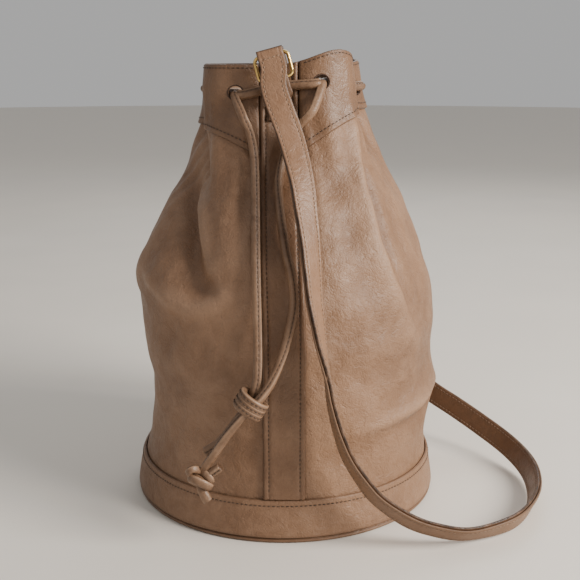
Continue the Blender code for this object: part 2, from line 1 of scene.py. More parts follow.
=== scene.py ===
"""Looks of the leather drawstring bucket bag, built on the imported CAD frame.

Each soft piece is a closed mesh made from the same curved surface as its CAD
solid, with finer folds, rolled edges, real stitches and procedural leather.
Metres, +Z up. The front faces -Y and the shoulder strap lies out to +X.
"""
import math

import bmesh
import bpy
import numpy as np
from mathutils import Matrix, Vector


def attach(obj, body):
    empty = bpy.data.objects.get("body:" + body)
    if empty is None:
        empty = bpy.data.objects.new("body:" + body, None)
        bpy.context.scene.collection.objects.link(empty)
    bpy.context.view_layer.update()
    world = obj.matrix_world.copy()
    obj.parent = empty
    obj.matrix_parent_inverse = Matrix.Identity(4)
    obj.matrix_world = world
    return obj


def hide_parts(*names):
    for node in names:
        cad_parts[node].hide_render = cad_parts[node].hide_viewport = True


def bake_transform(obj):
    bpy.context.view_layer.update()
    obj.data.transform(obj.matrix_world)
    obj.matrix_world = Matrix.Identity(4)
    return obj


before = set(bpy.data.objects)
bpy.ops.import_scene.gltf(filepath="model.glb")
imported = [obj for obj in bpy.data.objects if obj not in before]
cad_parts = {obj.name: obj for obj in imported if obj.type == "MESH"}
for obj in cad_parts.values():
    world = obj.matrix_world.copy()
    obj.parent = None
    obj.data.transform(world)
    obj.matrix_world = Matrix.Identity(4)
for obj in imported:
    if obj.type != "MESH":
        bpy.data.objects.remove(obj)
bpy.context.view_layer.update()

# ------------------------------------------------- sizes shared with the CAD
LEATHER = 0.0018
LAYER_GAP = 0.0007
OUTER_LAYER = LEATHER + LAYER_GAP
FACING_LEATHER = 0.0014
BUTT_GAP = 0.0005
SEAM_LAP = 0.010
RIM_HEIGHT = 0.343
RIM_RISE = 0.011
MOUTH_LEAN = -0.004
BAND_HEIGHT = 0.032
BAND_FOOT = 0.0035
STRIP_WIDTH = 0.031
BASE_PANEL_RADIUS = 0.1193
PIPING_RADIUS = 0.0015
CORD_DIAMETER = 0.0070
HOLE_DIAMETER = 0.0102
HOLE_BELOW_RIM = 0.020
CORD_BEND = 0.0082
CORD_STAND_OFF = 0.0080
HOLE_ANGLES = (31, 72, 99, 149, -149, -102, -75, -31)
STRAP_WIDTH = 0.019
STRAP_OUTER = 0.0021
STRAP_LINING = 0.0018
STRAP_PLY_GAP = 0.0004
WIRE_RADIUS = 0.0013
RING_BARS = 0.0172
RING_HALF_WIDTH = 0.0123
RING_CORNER = 0.0036
RING_TILT = math.radians(15)
RING_PIVOT = (-0.0055, 0.0640, 0.3335)
RING_CLEARANCE = 0.00035
TAB_WIDTH = 0.0165
TAB_LEATHER = 0.0013
TAB_FOOT = 0.302

STITCH_PITCH = 0.0034
STITCH_INSET = 0.0044       # from a rolled edge to its row of stitches
RIM_INSET = 0.0025          # the same at the mouth's edge
STRAP_STITCH_INSET = 0.0029

# Outer face of the leather: height, then the radius to the front, right,
# back and left.
BODY_PROFILE = np.array([
    (0.000, 0.1218, 0.1218, 0.1218, 0.1218),
    (0.012, 0.1204, 0.1204, 0.1204, 0.1204),
    (0.022, 0.1186, 0.1188, 0.1186, 0.1185),
    (0.033, 0.1168, 0.1172, 0.1168, 0.1160),
    (0.050, 0.1160, 0.1160, 0.1155, 0.1115),
    (0.070, 0.1166, 0.1195, 0.1165, 0.1085),
    (0.092, 0.1180, 0.1235, 0.1180, 0.1085),
    (0.115, 0.1188, 0.1195, 0.1195, 0.1120),
    (0.150, 0.1190, 0.1205, 0.1200, 0.1155),
    (0.175, 0.1172, 0.1175, 0.1180, 0.1175),
    (0.190, 0.1140, 0.1140, 0.1150, 0.1160),
    (0.216, 0.1060, 0.1065, 0.1070, 0.1030),
    (0.242, 0.0945, 0.0975, 0.0950, 0.0890),
    (0.264, 0.0835, 0.0885, 0.0840, 0.0770),
    (0.293, 0.0715, 0.0780, 0.0720, 0.0715),
    (0.320, 0.0645, 0.0710, 0.0650, 0.0700),
    (0.345, 0.0605, 0.0680, 0.0620, 0.0680),
    (0.362, 0.0590, 0.0670, 0.0610, 0.0670),
])

# Deep folds of the drawn mouth: height, direction, half width and depth.
FRONT_FOLD = np.array([
    (0.030, 0, 24, 0.0000), (0.120, 0, 24, 0.0012), (0.180, 0, 24, 0.0050),
    (0.220, 0, 25, 0.0100), (0.260, 0, 26, 0.0150), (0.300, 0, 26, 0.0175),
    (0.362, 0, 26, 0.0180),
])
LEFT_FOLD = np.array([
    (0.140, -31, 12, 0.0000), (0.170, -31, 12, 0.0035), (0.190, -36, 13, 0.0090),
    (0.220, -46, 14, 0.0145), (0.250, -58, 16, 0.0190), (0.280, -72, 18, 0.0225),
    (0.310, -84, 20, 0.0250), (0.362, -88, 20, 0.0260),
])
RIGHT_FOLD = np.array([
    (0.170, 72, 22, 0.0000), (0.220, 73, 22, 0.0030), (0.260, 76, 21, 0.0075),
    (0.290, 79, 20, 0.0140), (0.320, 82, 20, 0.0210), (0.362, 84, 20, 0.0250),
])
BACK_FOLD = np.array([
    (0.030, 180, 26, 0.0000), (0.120, 180, 26, 0.0010), (0.180, 180, 26, 0.0045),
    (0.220, 180, 26, 0.0095), (0.260, 180, 26, 0.0145), (0.300, 180, 26, 0.0170),
    (0.362, 180, 26, 0.0180),
])
FOLDS = (FRONT_FOLD, LEFT_FOLD, RIGHT_FOLD, BACK_FOLD)

# Small creases and ridges of the slack leather: (degrees, height) points,
# half width and rise (outward is positive). A fourth number makes the side
# on the line's left hand, looking along it, that much steeper.
CREASES = [
    ([(-70, 0.192), (-58, 0.181), (-45, 0.172), (-36, 0.169), (-26, 0.176), (-17, 0.189)],
     0.0060, 0.0030),
    ([(-44, 0.190), (-33, 0.185), (-24, 0.192)], 0.0075, -0.0035),
    ([(-25, 0.188), (-31, 0.197), (-36, 0.212), (-43, 0.2345), (-57, 0.2495), (-72, 0.265),
      (-84, 0.283)], 0.0085, 0.0050),
    ([(-33, 0.190), (-41, 0.204), (-48, 0.222), (-60, 0.241), (-74, 0.255)], 0.0068, -0.0062),
    ([(-76, 0.176), (-70, 0.205), (-74, 0.232)], 0.0120, 0.0024),
    ([(-62, 0.150), (-48, 0.142), (-34, 0.144)], 0.0100, -0.0014),
    ([(-80, 0.160), (-74, 0.190), (-70, 0.215)], 0.0080, 0.0016),
    ([(53, 0.300), (47, 0.275), (44, 0.254), (42, 0.219), (44, 0.193), (53, 0.150)],
     0.0100, 0.0042, 0.32),
    ([(51, 0.285), (48, 0.254), (46, 0.219), (49, 0.190)], 0.0060, -0.0034),
    ([(37, 0.280), (31, 0.250), (30, 0.219), (31, 0.190), (37, 0.155)], 0.0110, -0.0026),
    ([(62, 0.275), (57, 0.240), (58, 0.205), (64, 0.170)], 0.0100, -0.0018),
    ([(82, 0.094), (68, 0.089), (56, 0.086), (44, 0.084), (34, 0.081), (26, 0.079)],
     0.0050, 0.0024),
    ([(80, 0.080), (64, 0.077), (50, 0.0745), (38, 0.072)], 0.0060, -0.0024),
    ([(70, 0.108), (54, 0.103), (40, 0.100)], 0.0070, -0.0014),
    ([(88, 0.288), (74, 0.282), (64, 0.284)], 0.0075, -0.0028),
    ([(24, 0.272), (17, 0.240), (15, 0.205)], 0.0070, 0.0012),
    ([(-17, 0.262), (-14, 0.235), (-14, 0.205)], 0.0070, 0.0012),
    ([(120, 0.200), (136, 0.184), (152, 0.192)], 0.0090, 0.0024),
    ([(118, 0.270), (124, 0.230), (132, 0.196)], 0.0090, -0.0022),
    ([(-120, 0.196), (-134, 0.180), (-150, 0.188)], 0.0090, 0.0024),
    ([(-116, 0.268), (-122, 0.230), (-130, 0.192)], 0.0090, -0.0022),
    ([(100, 0.092), (122, 0.084), (145, 0.086)], 0.0070, 0.0018),
    ([(-95, 0.070), (-112, 0.076), (-136, 0.072)], 0.0080, -0.0018),
    ([(-88, 0.092), (-72, 0.086), (-56, 0.090)], 0.0085, 0.0014),
]
CREASE_RADIUS = 0.105       # turns degrees into a distance round the leather

# Strap centre line and the direction from its left edge to its right edge.
STRAP_ROUTE = [
    ((-0.0070, -0.0718, 0.3256), (0.96, -0.03, 0.26)),
    ((0.0045, -0.0800, 0.2935), (0.96, 0.18, 0.22)),
    ((0.0118, -0.0969, 0.2658), (0.91, 0.40, -0.05)),
    ((0.0147, -0.1086, 0.2458), (0.83, 0.54, -0.17)),
    ((0.0173, -0.1175, 0.2264), (0.72, 0.67, -0.19)),
    ((0.0189, -0.1245, 0.2068), (0.61, 0.77, -0.18)),
    ((0.0205, -0.1296, 0.1863), (0.50, 0.86, -0.12)),
    ((0.0230, -0.1320, 0.1705), (0.38, 0.93, -0.06)),
    ((0.0251, -0.1332, 0.1570), (0.26, 0.96, -0.02)),
    ((0.0298, -0.1347, 0.1325), (-0.01, 1.00, -0.06)),
    ((0.0321, -0.1354, 0.1165), (-0.12, 0.99, -0.06)),
    ((0.0352, -0.1360, 0.1019), (-0.21, 0.98, -0.07)),
    ((0.0396, -0.1360, 0.0869), (-0.29, 0.95, -0.10)),
    ((0.0455, -0.1360, 0.0718), (-0.38, 0.91, -0.18)),
    ((0.0548, -0.1356, 0.0563), (-0.43, 0.86, -0.26)),
    ((0.0670, -0.1347, 0.0404), (-0.46, 0.79, -0.41)),
    ((0.0884, -0.1327, 0.0238), (-0.36, 0.70, -0.62)),
    ((0.1080, -0.1316, 0.0155), (-0.32, 0.67, -0.67)),
    ((0.1322, -0.1289, 0.0104), (-0.28, 0.64, -0.72)),
    ((0.1594, -0.1180, 0.0104), (-0.24, 0.52, -0.82)),
    ((0.1790, -0.1010, 0.0106), (-0.28, 0.36, -0.89)),
    ((0.1960, -0.0700, 0.0108), (-0.36, 0.18, -0.91)),
    ((0.2040, -0.0350, 0.0110), (-0.42, 0.02, -0.90)),
    ((0.2036, -0.0050, 0.0128), (-0.42, -0.04, -0.90)),
    ((0.1940, 0.0220, 0.0180), (-0.40, -0.08, -0.91)),
    ((0.1755, 0.0450, 0.0270), (-0.36, -0.10, -0.92)),
    ((0.1545, 0.0645, 0.0372), (-0.30, -0.12, -0.94)),
    ((0.1350, 0.0800, 0.0465), (-0.32, -0.12, -0.92)),
    ((0.1127, 0.1013, 0.0596), (-0.67, -0.14, -0.72)),
    ((0.0862, 0.1240, 0.0841), (-0.72, -0.62, -0.32)),
    ((0.0565, 0.1379, 0.1244), (-0.16, -0.99, 0.05)),
    ((0.0306, 0.1379, 0.1703), (0.59, -0.79, 0.18)),
    ((0.0127, 0.1240, 0.2206), (0.95, -0.26, 0.18)),
    ((0.0030, 0.1000, 0.2700), (0.98, 0.02, 0.24)),
    ((-0.0050, 0.0752, 0.3220), (0.96, 0.02, 0.26)),
]
STRAP_STATIONS = 460

# The drawstring's ends, from the eyelet holes down through the sliding knot.
KNOT_CENTRE = np.array([-0.0235, -0.1340, 0.1123])
KNOT_AXIS = np.array([-0.510077, 0.0, -0.860129])
LEFT_STRAND = [
    (-0.0372, -0.0605, 0.3148), (-0.0352, -0.0655, 0.3140), (-0.0300, -0.0682, 0.3072),
    (-0.0250, -0.0680, 0.2960), (-0.0220, -0.0702, 0.2805), (-0.0210, -0.0788, 0.2620),
    (-0.0205, -0.0912, 0.2390), (-0.0200, -0.1046, 0.2140), (-0.0195, -0.1132, 0.1950),
    (-0.0190, -0.1198, 0.1750), (-0.0186, -0.1248, 0.1550), (-0.0186, -0.1285, 0.1400),
    (-0.0192, -0.1308, 0.1300), (-0.0207, -0.1316, 0.1229), (-0.0244, -0.1304, 0.1128),
    (-0.0301, -0.1302, 0.1040), (-0.0363, -0.1299, 0.0950), (-0.0458, -0.1290, 0.0829),
    (-0.0562, -0.1280, 0.0748),
]
RIGHT_STRAND = [
    (0.0302, -0.0605, 0.3185), (0.0280, -0.0655, 0.3174), (0.0205, -0.0682, 0.3115),
    (0.0100, -0.0675, 0.3000), (0.0020, -0.0672, 0.2850), (-0.0040, -0.0768, 0.2640),
    (-0.0030, -0.0902, 0.2420), (0.0006, -0.1038, 0.2180), (0.0052, -0.1128, 0.1990),
    (0.0068, -0.1192, 0.1820), (0.0042, -0.1244, 0.1660), (-0.0010, -0.1300, 0.1480),
    (-0.0080, -0.1345, 0.1310), (-0.0152, -0.1366, 0.1198), (-0.0226, -0.1378, 0.1118),
    (-0.0301, -0.1380, 0.1040), (-0.0380, -0.1378, 0.0941), (-0.0443, -0.1370, 0.0846),
    (-0.0505, -0.1355, 0.0745), (-0.0545, -0.1338, 0.0680),
]
END_KNOT_CENTRE = np.array([-0.0598, -0.1320, 0.0545])


# ---------------------------------------------------------- bag's surface
def smooth(table, column, heights):
    """Value of one column of a table at the heights, on a smooth curve."""
    knots = table[:, 0]
    values = table[:, column]
    slopes = np.gradient(values, knots)
    heights = np.clip(heights, knots[0], knots[-1])
    i = np.clip(np.searchsorted(knots, heights, side="right") - 1, 0, len(knots) - 2)
    step = knots[i + 1] - knots[i]
    t = (heights - knots[i]) / step
    return ((2 * t**3 - 3 * t**2 + 1) * values[i] + (t**3 - 2 * t**2 + t) * step * slopes[i]
            + (3 * t**2 - 2 * t**3) * values[i + 1] + (t**3 - t**2) * step * slopes[i + 1])


def bag_radius(angle, height):
    """Radius of the leather's outer face; angle in radians from -Y toward +X."""
    across, along = np.sin(angle), np.cos(angle)
    near = np.where(along > 0, smooth(BODY_PROFILE, 1, height), smooth(BODY_PROFILE, 3, height))
    side = np.where(across > 0, smooth(BODY_PROFILE, 2, height), smooth(BODY_PROFILE, 4, height))
    radius = near * along**2 + side * across**2
    for fold in FOLDS:
        turn = np.degrees(angle) - smooth(fold, 1, height)
        turn = (turn + 180) % 360 - 180
        radius = radius - smooth(fold, 3, height) * np.exp(-(turn / smooth(fold, 2, height))**2)
    return radius


def bag_point(angle, height):
    radius = bag_radius(angle, height)
    lean = MOUTH_LEAN * np.clip((height - 0.15) / 0.17, 0, 1)
    return np.stack([lean + radius * np.sin(angle), -radius * np.cos(angle),
                     height + 0 * angle], axis=-1)


def bag_normal(angle, height, step=1e-3):
    around = bag_point(angle + step, height) - bag_point(angle - step, height)
    up = bag_point(angle, height + step) - bag_point(angle, height - step)
    normal = np.cross(around, up)
    return normal / np.linalg.norm(normal, axis=-1, keepdims=True)


def rim_height(angle):
    turn = np.degrees(angle)
    rise = RIM_RISE * np.exp(-((turn - 44) / 22)**2)
    return RIM_HEIGHT + rise + 0.004 * np.exp(-((turn - 125) / 25)**2)


def yoke_seam(angle):
    turn = np.degrees(angle)
    dip = np.exp(-(turn / 33)**2) + np.exp(-((np.abs(turn) - 180) / 33)**2)
    return 0.302 + 0.006 * np.sin(angle) - 0.027 * dip


YOKE_ROW = 0.290            # nominal height of the row under the yoke's seam


def body_row(nominal):
    """A row of the wall, level at the foot and following the yoke's seam above."""
    follow = min(max((nominal - 0.18) / 0.11, 0), 1)
    return lambda angle: nominal + follow * (yoke_seam(angle) - YOKE_ROW)


def walked_along(points):
    """Distance walked along the points to each of them."""
    return np.append(0, np.cumsum(np.linalg.norm(np.diff(points, axis=0), axis=1)))


def measured_angles(height_of, side, distances):
    """Angles at the given distances along a row, measured from the front's
    middle (negative distances: from the back's), and the row's length."""
    angle = side * np.linspace(0, math.pi, 721)
    walked = walked_along(bag_point(angle, height_of(angle)))
    wanted = np.array([d if d >= 0 else walked[-1] + d for d in distances])
    return np.interp(wanted, walked, angle), walked[-1]


# ------------------------------------------------------------- fine relief
random = np.random.default_rng(7)
RIPPLES = []
for wavelength, amount in ((0.050, 0.00045), (0.030, 0.00030), (0.016, 0.00012)):
    for _ in range(7):
        way = random.normal(size=3)
        way *= 2 * math.pi / wavelength / np.linalg.norm(way)
        RIPPLES.append((way, random.uniform(0, 2 * math.pi), amount / 2))


def crease_field(angle, height):
    """Sum of the creases: how far each moves the leather outward."""
    around = angle * CREASE_RADIUS
    total = np.zeros(np.broadcast(angle, height).shape)
    for line, half_width, rise, *steeper in CREASES:
        line = np.array([(math.radians(a) * CREASE_RADIUS, z) for a, z in line])
        lengths = np.linalg.norm(np.diff(line, axis=0), axis=1)
        best = np.full(total.shape, 1.0)
        wide = np.full(total.shape, half_width)
        place = np.zeros(total.shape)
        for i, length in enumerate(lengths):
            along = (line[i + 1] - line[i]) / length
            du, dv = around - line[i, 0], height - line[i, 1]
            t = np.clip(du * along[0] + dv * along[1], 0, length)
            distance = np.hypot(du - t * along[0], dv - t * along[1])
            nearer = distance < best
            if steeper:
                left = along[0] * dv - along[1] * du > 0
                wide = np.where(nearer, np.where(left, half_width * steeper[0], half_width), wide)
            best = np.where(nearer, distance, best)
            place = np.where(nearer, (lengths[:i].sum() + t) / lengths.sum(), place)
        fade = np.sin(math.pi * np.clip(place, 0.06, 0.94)) ** 0.7
        total = total + rise * fade * np.exp(-(best / wide)**2)
    return total


def relief(angle, height):
    """Small folds, gathers and ripples of the slack leather, outward."""
    points = bag_point(angle, height)
    total = crease_field(angle, height)
    for way, phase, amount in RIPPLES:
        total = total + amount * np.sin(points @ way + phase)
    below = yoke_seam(angle) - height
    gathers = np.sin(angle * 34 + 3 * np.sin(angle * 5)) * np.exp(-((below - 0.012) / 0.040)**2)
    total = total + 0.0007 * gathers * (np.abs(np.sin(angle)) > 0.2)
    firm = np.clip((height - 0.030) / 0.03, 0.15, 1)
    return total * firm


def on_bag(angles, heights, offset=0.0):
    """Points on the creased leather, with their normals."""
    normals = bag_normal(angles, heights)
    rise = relief(angles, heights)
    return bag_point(angles, heights) + normals * (rise + offset)[..., None], normals, rise


# ------------------------------------------------------------- mesh helpers
def grid_faces(rows, columns, first=0, closed_rows=False, closed_columns=True):
    """Four-cornered faces of a grid of points numbered row by row from first."""
    row, column = np.mgrid[:rows - (not closed_rows), :columns - (not closed_columns)]
    here, onward, beside = row * columns, (row + 1) % rows * columns, (column + 1) % columns
    corners = (here + column, here + beside, onward + beside, onward + column)
    return (first + np.stack(corners, axis=-1).reshape(-1, 4)).tolist()


def end_caps(rows, columns, first=0):
    """The two end faces of a tube made of rings of points."""
    last = first + (rows - 1) * columns
    return [list(range(first + columns - 1, first - 1, -1)), list(range(last, last + columns))]


def linked(name, data):
    made = bpy.data.objects.new(name, data)
    bpy.context.scene.collection.objects.link(made)
    return made


class Pile:
    """Closed surfaces collected into one mesh, with wear (and painted shade) and crest values."""

    def __init__(self):
        self.points, self.faces, self.looks, self.count = [], [], [], 0
        self.values = {"wear": [], "crest": []}

    def add(self, points, faces, look=0, **values):
        points = np.asarray(points, float).reshape(-1, 3)
        self.points.append(points)
        self.faces += [[self.count + k for k in face] for face in faces]
        self.looks += np.broadcast_to(look, len(faces)).tolist()
        for label, kept in self.values.items():
            kept.append(np.broadcast_to(np.ravel(values.get(label, 0.0)), len(points)))
        self.count += len(points)

    def sheet(self, points, normals, upper, lower, wrap=False, under=0, wear=0.0, crest=0.0):
        """A closed sheet of leather between two offsets of a grid of points."""
        rows, columns = size = points.shape[:2]
        below = rows * columns
        top = grid_faces(rows, columns, closed_columns=wrap)
        bottom = [[below + k for k in reversed(quad)] for quad in top]
        grid = np.arange(below).reshape(size)
        if wrap:
            grid = np.hstack([grid, grid[:, :1]])
        edges = [(grid[0, 1:], grid[0, :-1]), (grid[-1, :-1], grid[-1, 1:])]
        if not wrap:
            edges += [(grid[:-1, 0], grid[1:, 0]), (grid[1:, -1], grid[:-1, -1])]
        starts, ends = np.concatenate(edges, axis=1)
        rim = np.stack([starts, ends, below + ends, below + starts], axis=1).tolist()
        looks = [0] * len(top) + [under] * len(bottom) + [0] * len(rim)
        both = [points + normals * np.broadcast_to(offset, size)[..., None]
                for offset in (upper, lower)]
        wear, crest = [np.tile(np.broadcast_to(v, size).ravel(), 2) for v in (wear, crest)]
        self.add(both, top + bottom + rim, looks, wear=wear, crest=crest)

    def piece(self, name, looks, slot, body=None, stands_for=None, holes=()):
        """The finished piece, cut by the cord's holes and riding its body."""
        mesh = bpy.data.meshes.new(name)
        mesh.from_pydata(np.vstack(self.points).tolist(), [], self.faces)
        mesh.polygons.foreach_set("material_index", self.looks)
        for look in looks:
            mesh.materials.append(look)
        for label, values in self.values.items():
            attribute = mesh.attributes.new(label, "FLOAT", "POINT")
            attribute.data.foreach_set("value", np.concatenate(values).astype(np.float32))
        shape = bmesh.new()
        shape.from_mesh(mesh)
        bmesh.ops.recalc_face_normals(shape, faces=shape.faces)
        shape.to_mesh(mesh)
        shape.free()
        mesh.shade_smooth()
        made = linked(name, mesh)
        if holes:
            cut_holes(made, holes)
        if body:
            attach(made, body)
        if stands_for:
            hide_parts(stands_for)
        return made


def unit(vectors):
    vectors = np.asarray(vectors, float)
    return vectors / np.linalg.norm(vectors, axis=-1, keepdims=True)


def squared(vectors, along):
    """Unit vectors turned square to the directions along."""
    return unit(vectors - along * np.sum(vectors * along, axis=-1, keepdims=True))


def interpolated(places, knots, values):
    """Rows of values at the places between the knots."""
    return np.stack([np.interp(places, knots, column) for column in values.T], axis=1)


def centred(turn):
    return (turn + math.pi) % (2 * math.pi) - math.pi


def rounding(distance):
    """Share of the full thickness at a distance from a cut edge."""
    return np.interp(distance, (0, 0.0003, 0.0008, 0.0015), (0.15, 0.66, 0.94, 1.0))


ROLL = np.array([(0, 0.30), (0.0005, 0.90), (0.0012, 1.36), (0.0021, 1.66), (0.0030, 1.60),
                 (0.0038, 1.18), (0.0044, 0.98), (0.0052, 1.26), (0.0070, 1.26), (0.0095, 1.08),
                 (0.012, 1.0)])
ROLL_STEPS = ROLL[:, 0]
RIM_STEPS = ROLL_STEPS * RIM_INSET / STITCH_INSET


def roll(distance, inset=STITCH_INSET):
    """Share of the thickness at a distance from a turned and stitched edge."""
    return np.interp(distance * STITCH_INSET / inset, ROLL[:, 0], ROLL[:, 1])


def painted_groove_shade(distance, inset=STITCH_INSET):
    """Painted shade along the pressed line that the stitches lie in, as a crest value."""
    return -0.55 * np.exp(-((distance - inset) / 0.0008)**2)


def edge_wear(distance, reach=0.0022):
    return np.clip(1 - distance / reach, 0, 1)


def smooth_path(points, samples, closed=False):
    """Evenly spaced points on a smooth curve through the given points."""
    points = np.array(points, dtype=float)
    if closed:
        points = np.vstack([points[-1], points, points[:2]])
    else:
        points = np.vstack([2 * points[0] - points[1], points, 2 * points[-1] - points[-2]])
    fine = []
    t = np.linspace(0, 1, 24, endpoint=False)[:, None]
    for i in range(1, len(points) - 2):
        before, start, end, after = points[i - 1:i + 3]
        fine.append(0.5 * (2 * start + (end - before) * t
                           + (2 * before - 5 * start + 4 * end - after) * t**2
                           + (3 * start - before - 3 * end + after) * t**3))
    fine = np.vstack(fine + [points[-2][None]])
    walked = walked_along(fine[:, :3])
    wanted = np.linspace(0, walked[-1], samples + (1 if closed else 0))
    if closed:
        wanted = wanted[:-1]
    return interpolated(wanted, walked, fine)


def path_length(points):
    return float(walked_along(points)[-1])


def tangents(points, closed=False):
    if closed:
        return unit(np.roll(points, -1, axis=0) - np.roll(points, 1, axis=0))
    return unit(np.gradient(points, axis=0))


CORD_SIDES = 22
SEAM_TURN = 0.58            # radians from the cord's seam ridge to its stitches
FLATTENING = 0.22           # share by which a wrapped cord is pressed flat
END_ROUNDING = (0.12, 0.82)  # how far a cut end stands out, and its girth


def cord_outline(turn):
    """Radius of the folded and stitched leather cord, as a share."""
    turn = centred(turn)
    return (0.92 + 0.19 * np.exp(-(turn / 0.25)**2)
            - 0.12 * np.exp(-((turn - SEAM_TURN) / 0.16)**2))


def add_cord(pile, points, radius, seam, closed=False, flatten=None, stitched=True, taper=1.0):
    """A stitched leather cord along the points; seam is the way its ridge faces."""
    along = tangents(points, closed)
    ridge = squared(np.broadcast_to(seam, points.shape), along)
    side = np.cross(along, ridge)
    turn = np.linspace(0, 2 * math.pi, CORD_SIDES, endpoint=False)
    girth = radius * cord_outline(turn)
    sizes = np.broadcast_to(taper, len(points))[:, None]
    offset = (ridge[:, None] * (girth * np.cos(turn))[:, None]
              + side[:, None] * (girth * np.sin(turn))[:, None]) * sizes[..., None]
    if flatten is not None:
        inward = np.sum(offset * flatten[:, None], axis=-1, keepdims=True)
        offset = offset - FLATTENING * inward * flatten[:, None]
    rings = points[:, None] + offset
    if not closed:
        out, girth = END_ROUNDING
        first = points[0] - along[0] * radius * out + offset[0] * girth
        last = points[-1] + along[-1] * radius * out + offset[-1] * girth
        rings = np.concatenate([first[None], rings, last[None]])
    rows = len(rings)
    faces = grid_faces(rows, CORD_SIDES, closed_rows=closed)
    wear = np.zeros((rows, CORD_SIDES))
    if not closed:
        faces += end_caps(rows, CORD_SIDES)
        wear[[0, -1]] = 1
    # Burnish on the cord's ridge, painted shade in its stitched seam's groove.
    crest = np.tile(1.2 * np.exp(-(centred(turn) / 0.24)**2)
                    - 1.3 * np.exp(-((centred(turn) - SEAM_TURN) / 0.18)**2), rows)
    pile.add(rings, faces, wear=wear, crest=crest)
    if stitched:
        outward = unit(ridge * math.cos(SEAM_TURN) + side * math.sin(SEAM_TURN))
        reach = radius * float(cord_outline(SEAM_TURN)) * 0.97
        if flatten is not None:
            outward = unit(outward + 0.3 * flatten)
            reach *= 0.93
        add_stitches(pile, points + outward * reach * sizes, outward, closed)


# One stitch's rings of points: place along it, girth and height.
STITCH_RINGS = ((-0.50, 0.25, -0.9), (-0.42, 0.75, -0.35), (-0.2, 1.0, 0.0), (0.0, 1.05, 0.08),
                (0.2, 1.0, 0.0), (0.42, 0.75, -0.35), (0.50, 0.25, -0.9))
STITCH_LENGTH = 0.0025
THREAD_RADIUS = 0.00038
THREAD_SIDES = 6


def add_stitches(pile, points, normals, closed=False, look=1):
    """A row of stitches along the points, standing on their normals."""
    if closed:
        points, normals = [np.vstack([rows, rows[:1]]) for rows in (points, normals)]
    walked = walked_along(points)
    count = max(1, int(round(walked[-1] / STITCH_PITCH)))
    middles = (np.arange(count) + 0.5) * walked[-1] / count
    start, centre, end = [interpolated(middles + STITCH_LENGTH * share, walked, points)
                          for share in (-0.5, 0, 0.5)]
    along = unit(end - start + 1e-12)
    up = squared(interpolated(middles, walked, normals), along)
    side = np.cross(along, up)
    rings = [centre + along * place * STITCH_LENGTH + side * THREAD_RADIUS * size * math.cos(t)
             + up * THREAD_RADIUS * (0.25 + sink + size * math.sin(t))
             for place, size, sink in STITCH_RINGS
             for t in np.linspace(0, 2 * math.pi, THREAD_SIDES, endpoint=False)]
    faces = []
    for first in range(0, count * len(rings), len(rings)):
        faces += grid_faces(len(STITCH_RINGS), THREAD_SIDES, first)
        faces += end_caps(len(STITCH_RINGS), THREAD_SIDES, first)
    pile.add(np.stack(rings, axis=1), faces, look)


# ---------------------------------------------------------------- materials
def wire(tree, made, inputs):
    """Sets a node's inputs to values, or links them to other nodes' outputs."""
    for label, value in inputs.items():
        if isinstance(value, bpy.types.NodeSocket):
            tree.links.new(value, made.inputs[label])
        else:
            made.inputs[label].default_value = value


def node(tree, kind, inputs, output=0, **settings):
    made = tree.nodes.new(kind)
    for label, value in settings.items():
        setattr(made, label, value)
    wire(tree, made, inputs)
    return made.outputs[output]


def mixed(tree, factor, first, second):
    return node(tree, "ShaderNodeMix", {0: factor, 6: first, 7: second}, 2, data_type="RGBA")


def spread(tree, value, low, high, to_low=0.0, to_high=1.0):
    return node(tree, "ShaderNodeMapRange", {"Value": value, "From Min": low, "From Max": high,
                                             "To Min": to_low, "To Max": to_high})


def noise(tree, place, scale, detail, roughness=0.5, distortion=0.0):
    return node(tree, "ShaderNodeTexNoise", {"Vector": place, "Scale": scale, "Detail": detail,
                                             "Roughness": roughness,
                                             "Distortion": distortion}, "Fac")


def cells(tree, place, scale, feature):
    return node(tree, "ShaderNodeTexVoronoi", {"Vector": place, "Scale": scale}, "Distance",
                feature=feature)


def raised(tree, height, strength, distance, under=None, **settings):
    inputs = {"Height": height, "Strength": strength, "Distance": distance}
    if under:
        inputs["Normal"] = under
    return node(tree, "ShaderNodeBump", inputs, **settings)


def new_material(name):
    made = bpy.data.materials.new(name)
    made.use_nodes = True
    tree = made.node_tree
    return made, tree, node(tree, "ShaderNodeTexCoord", {}, "Object")


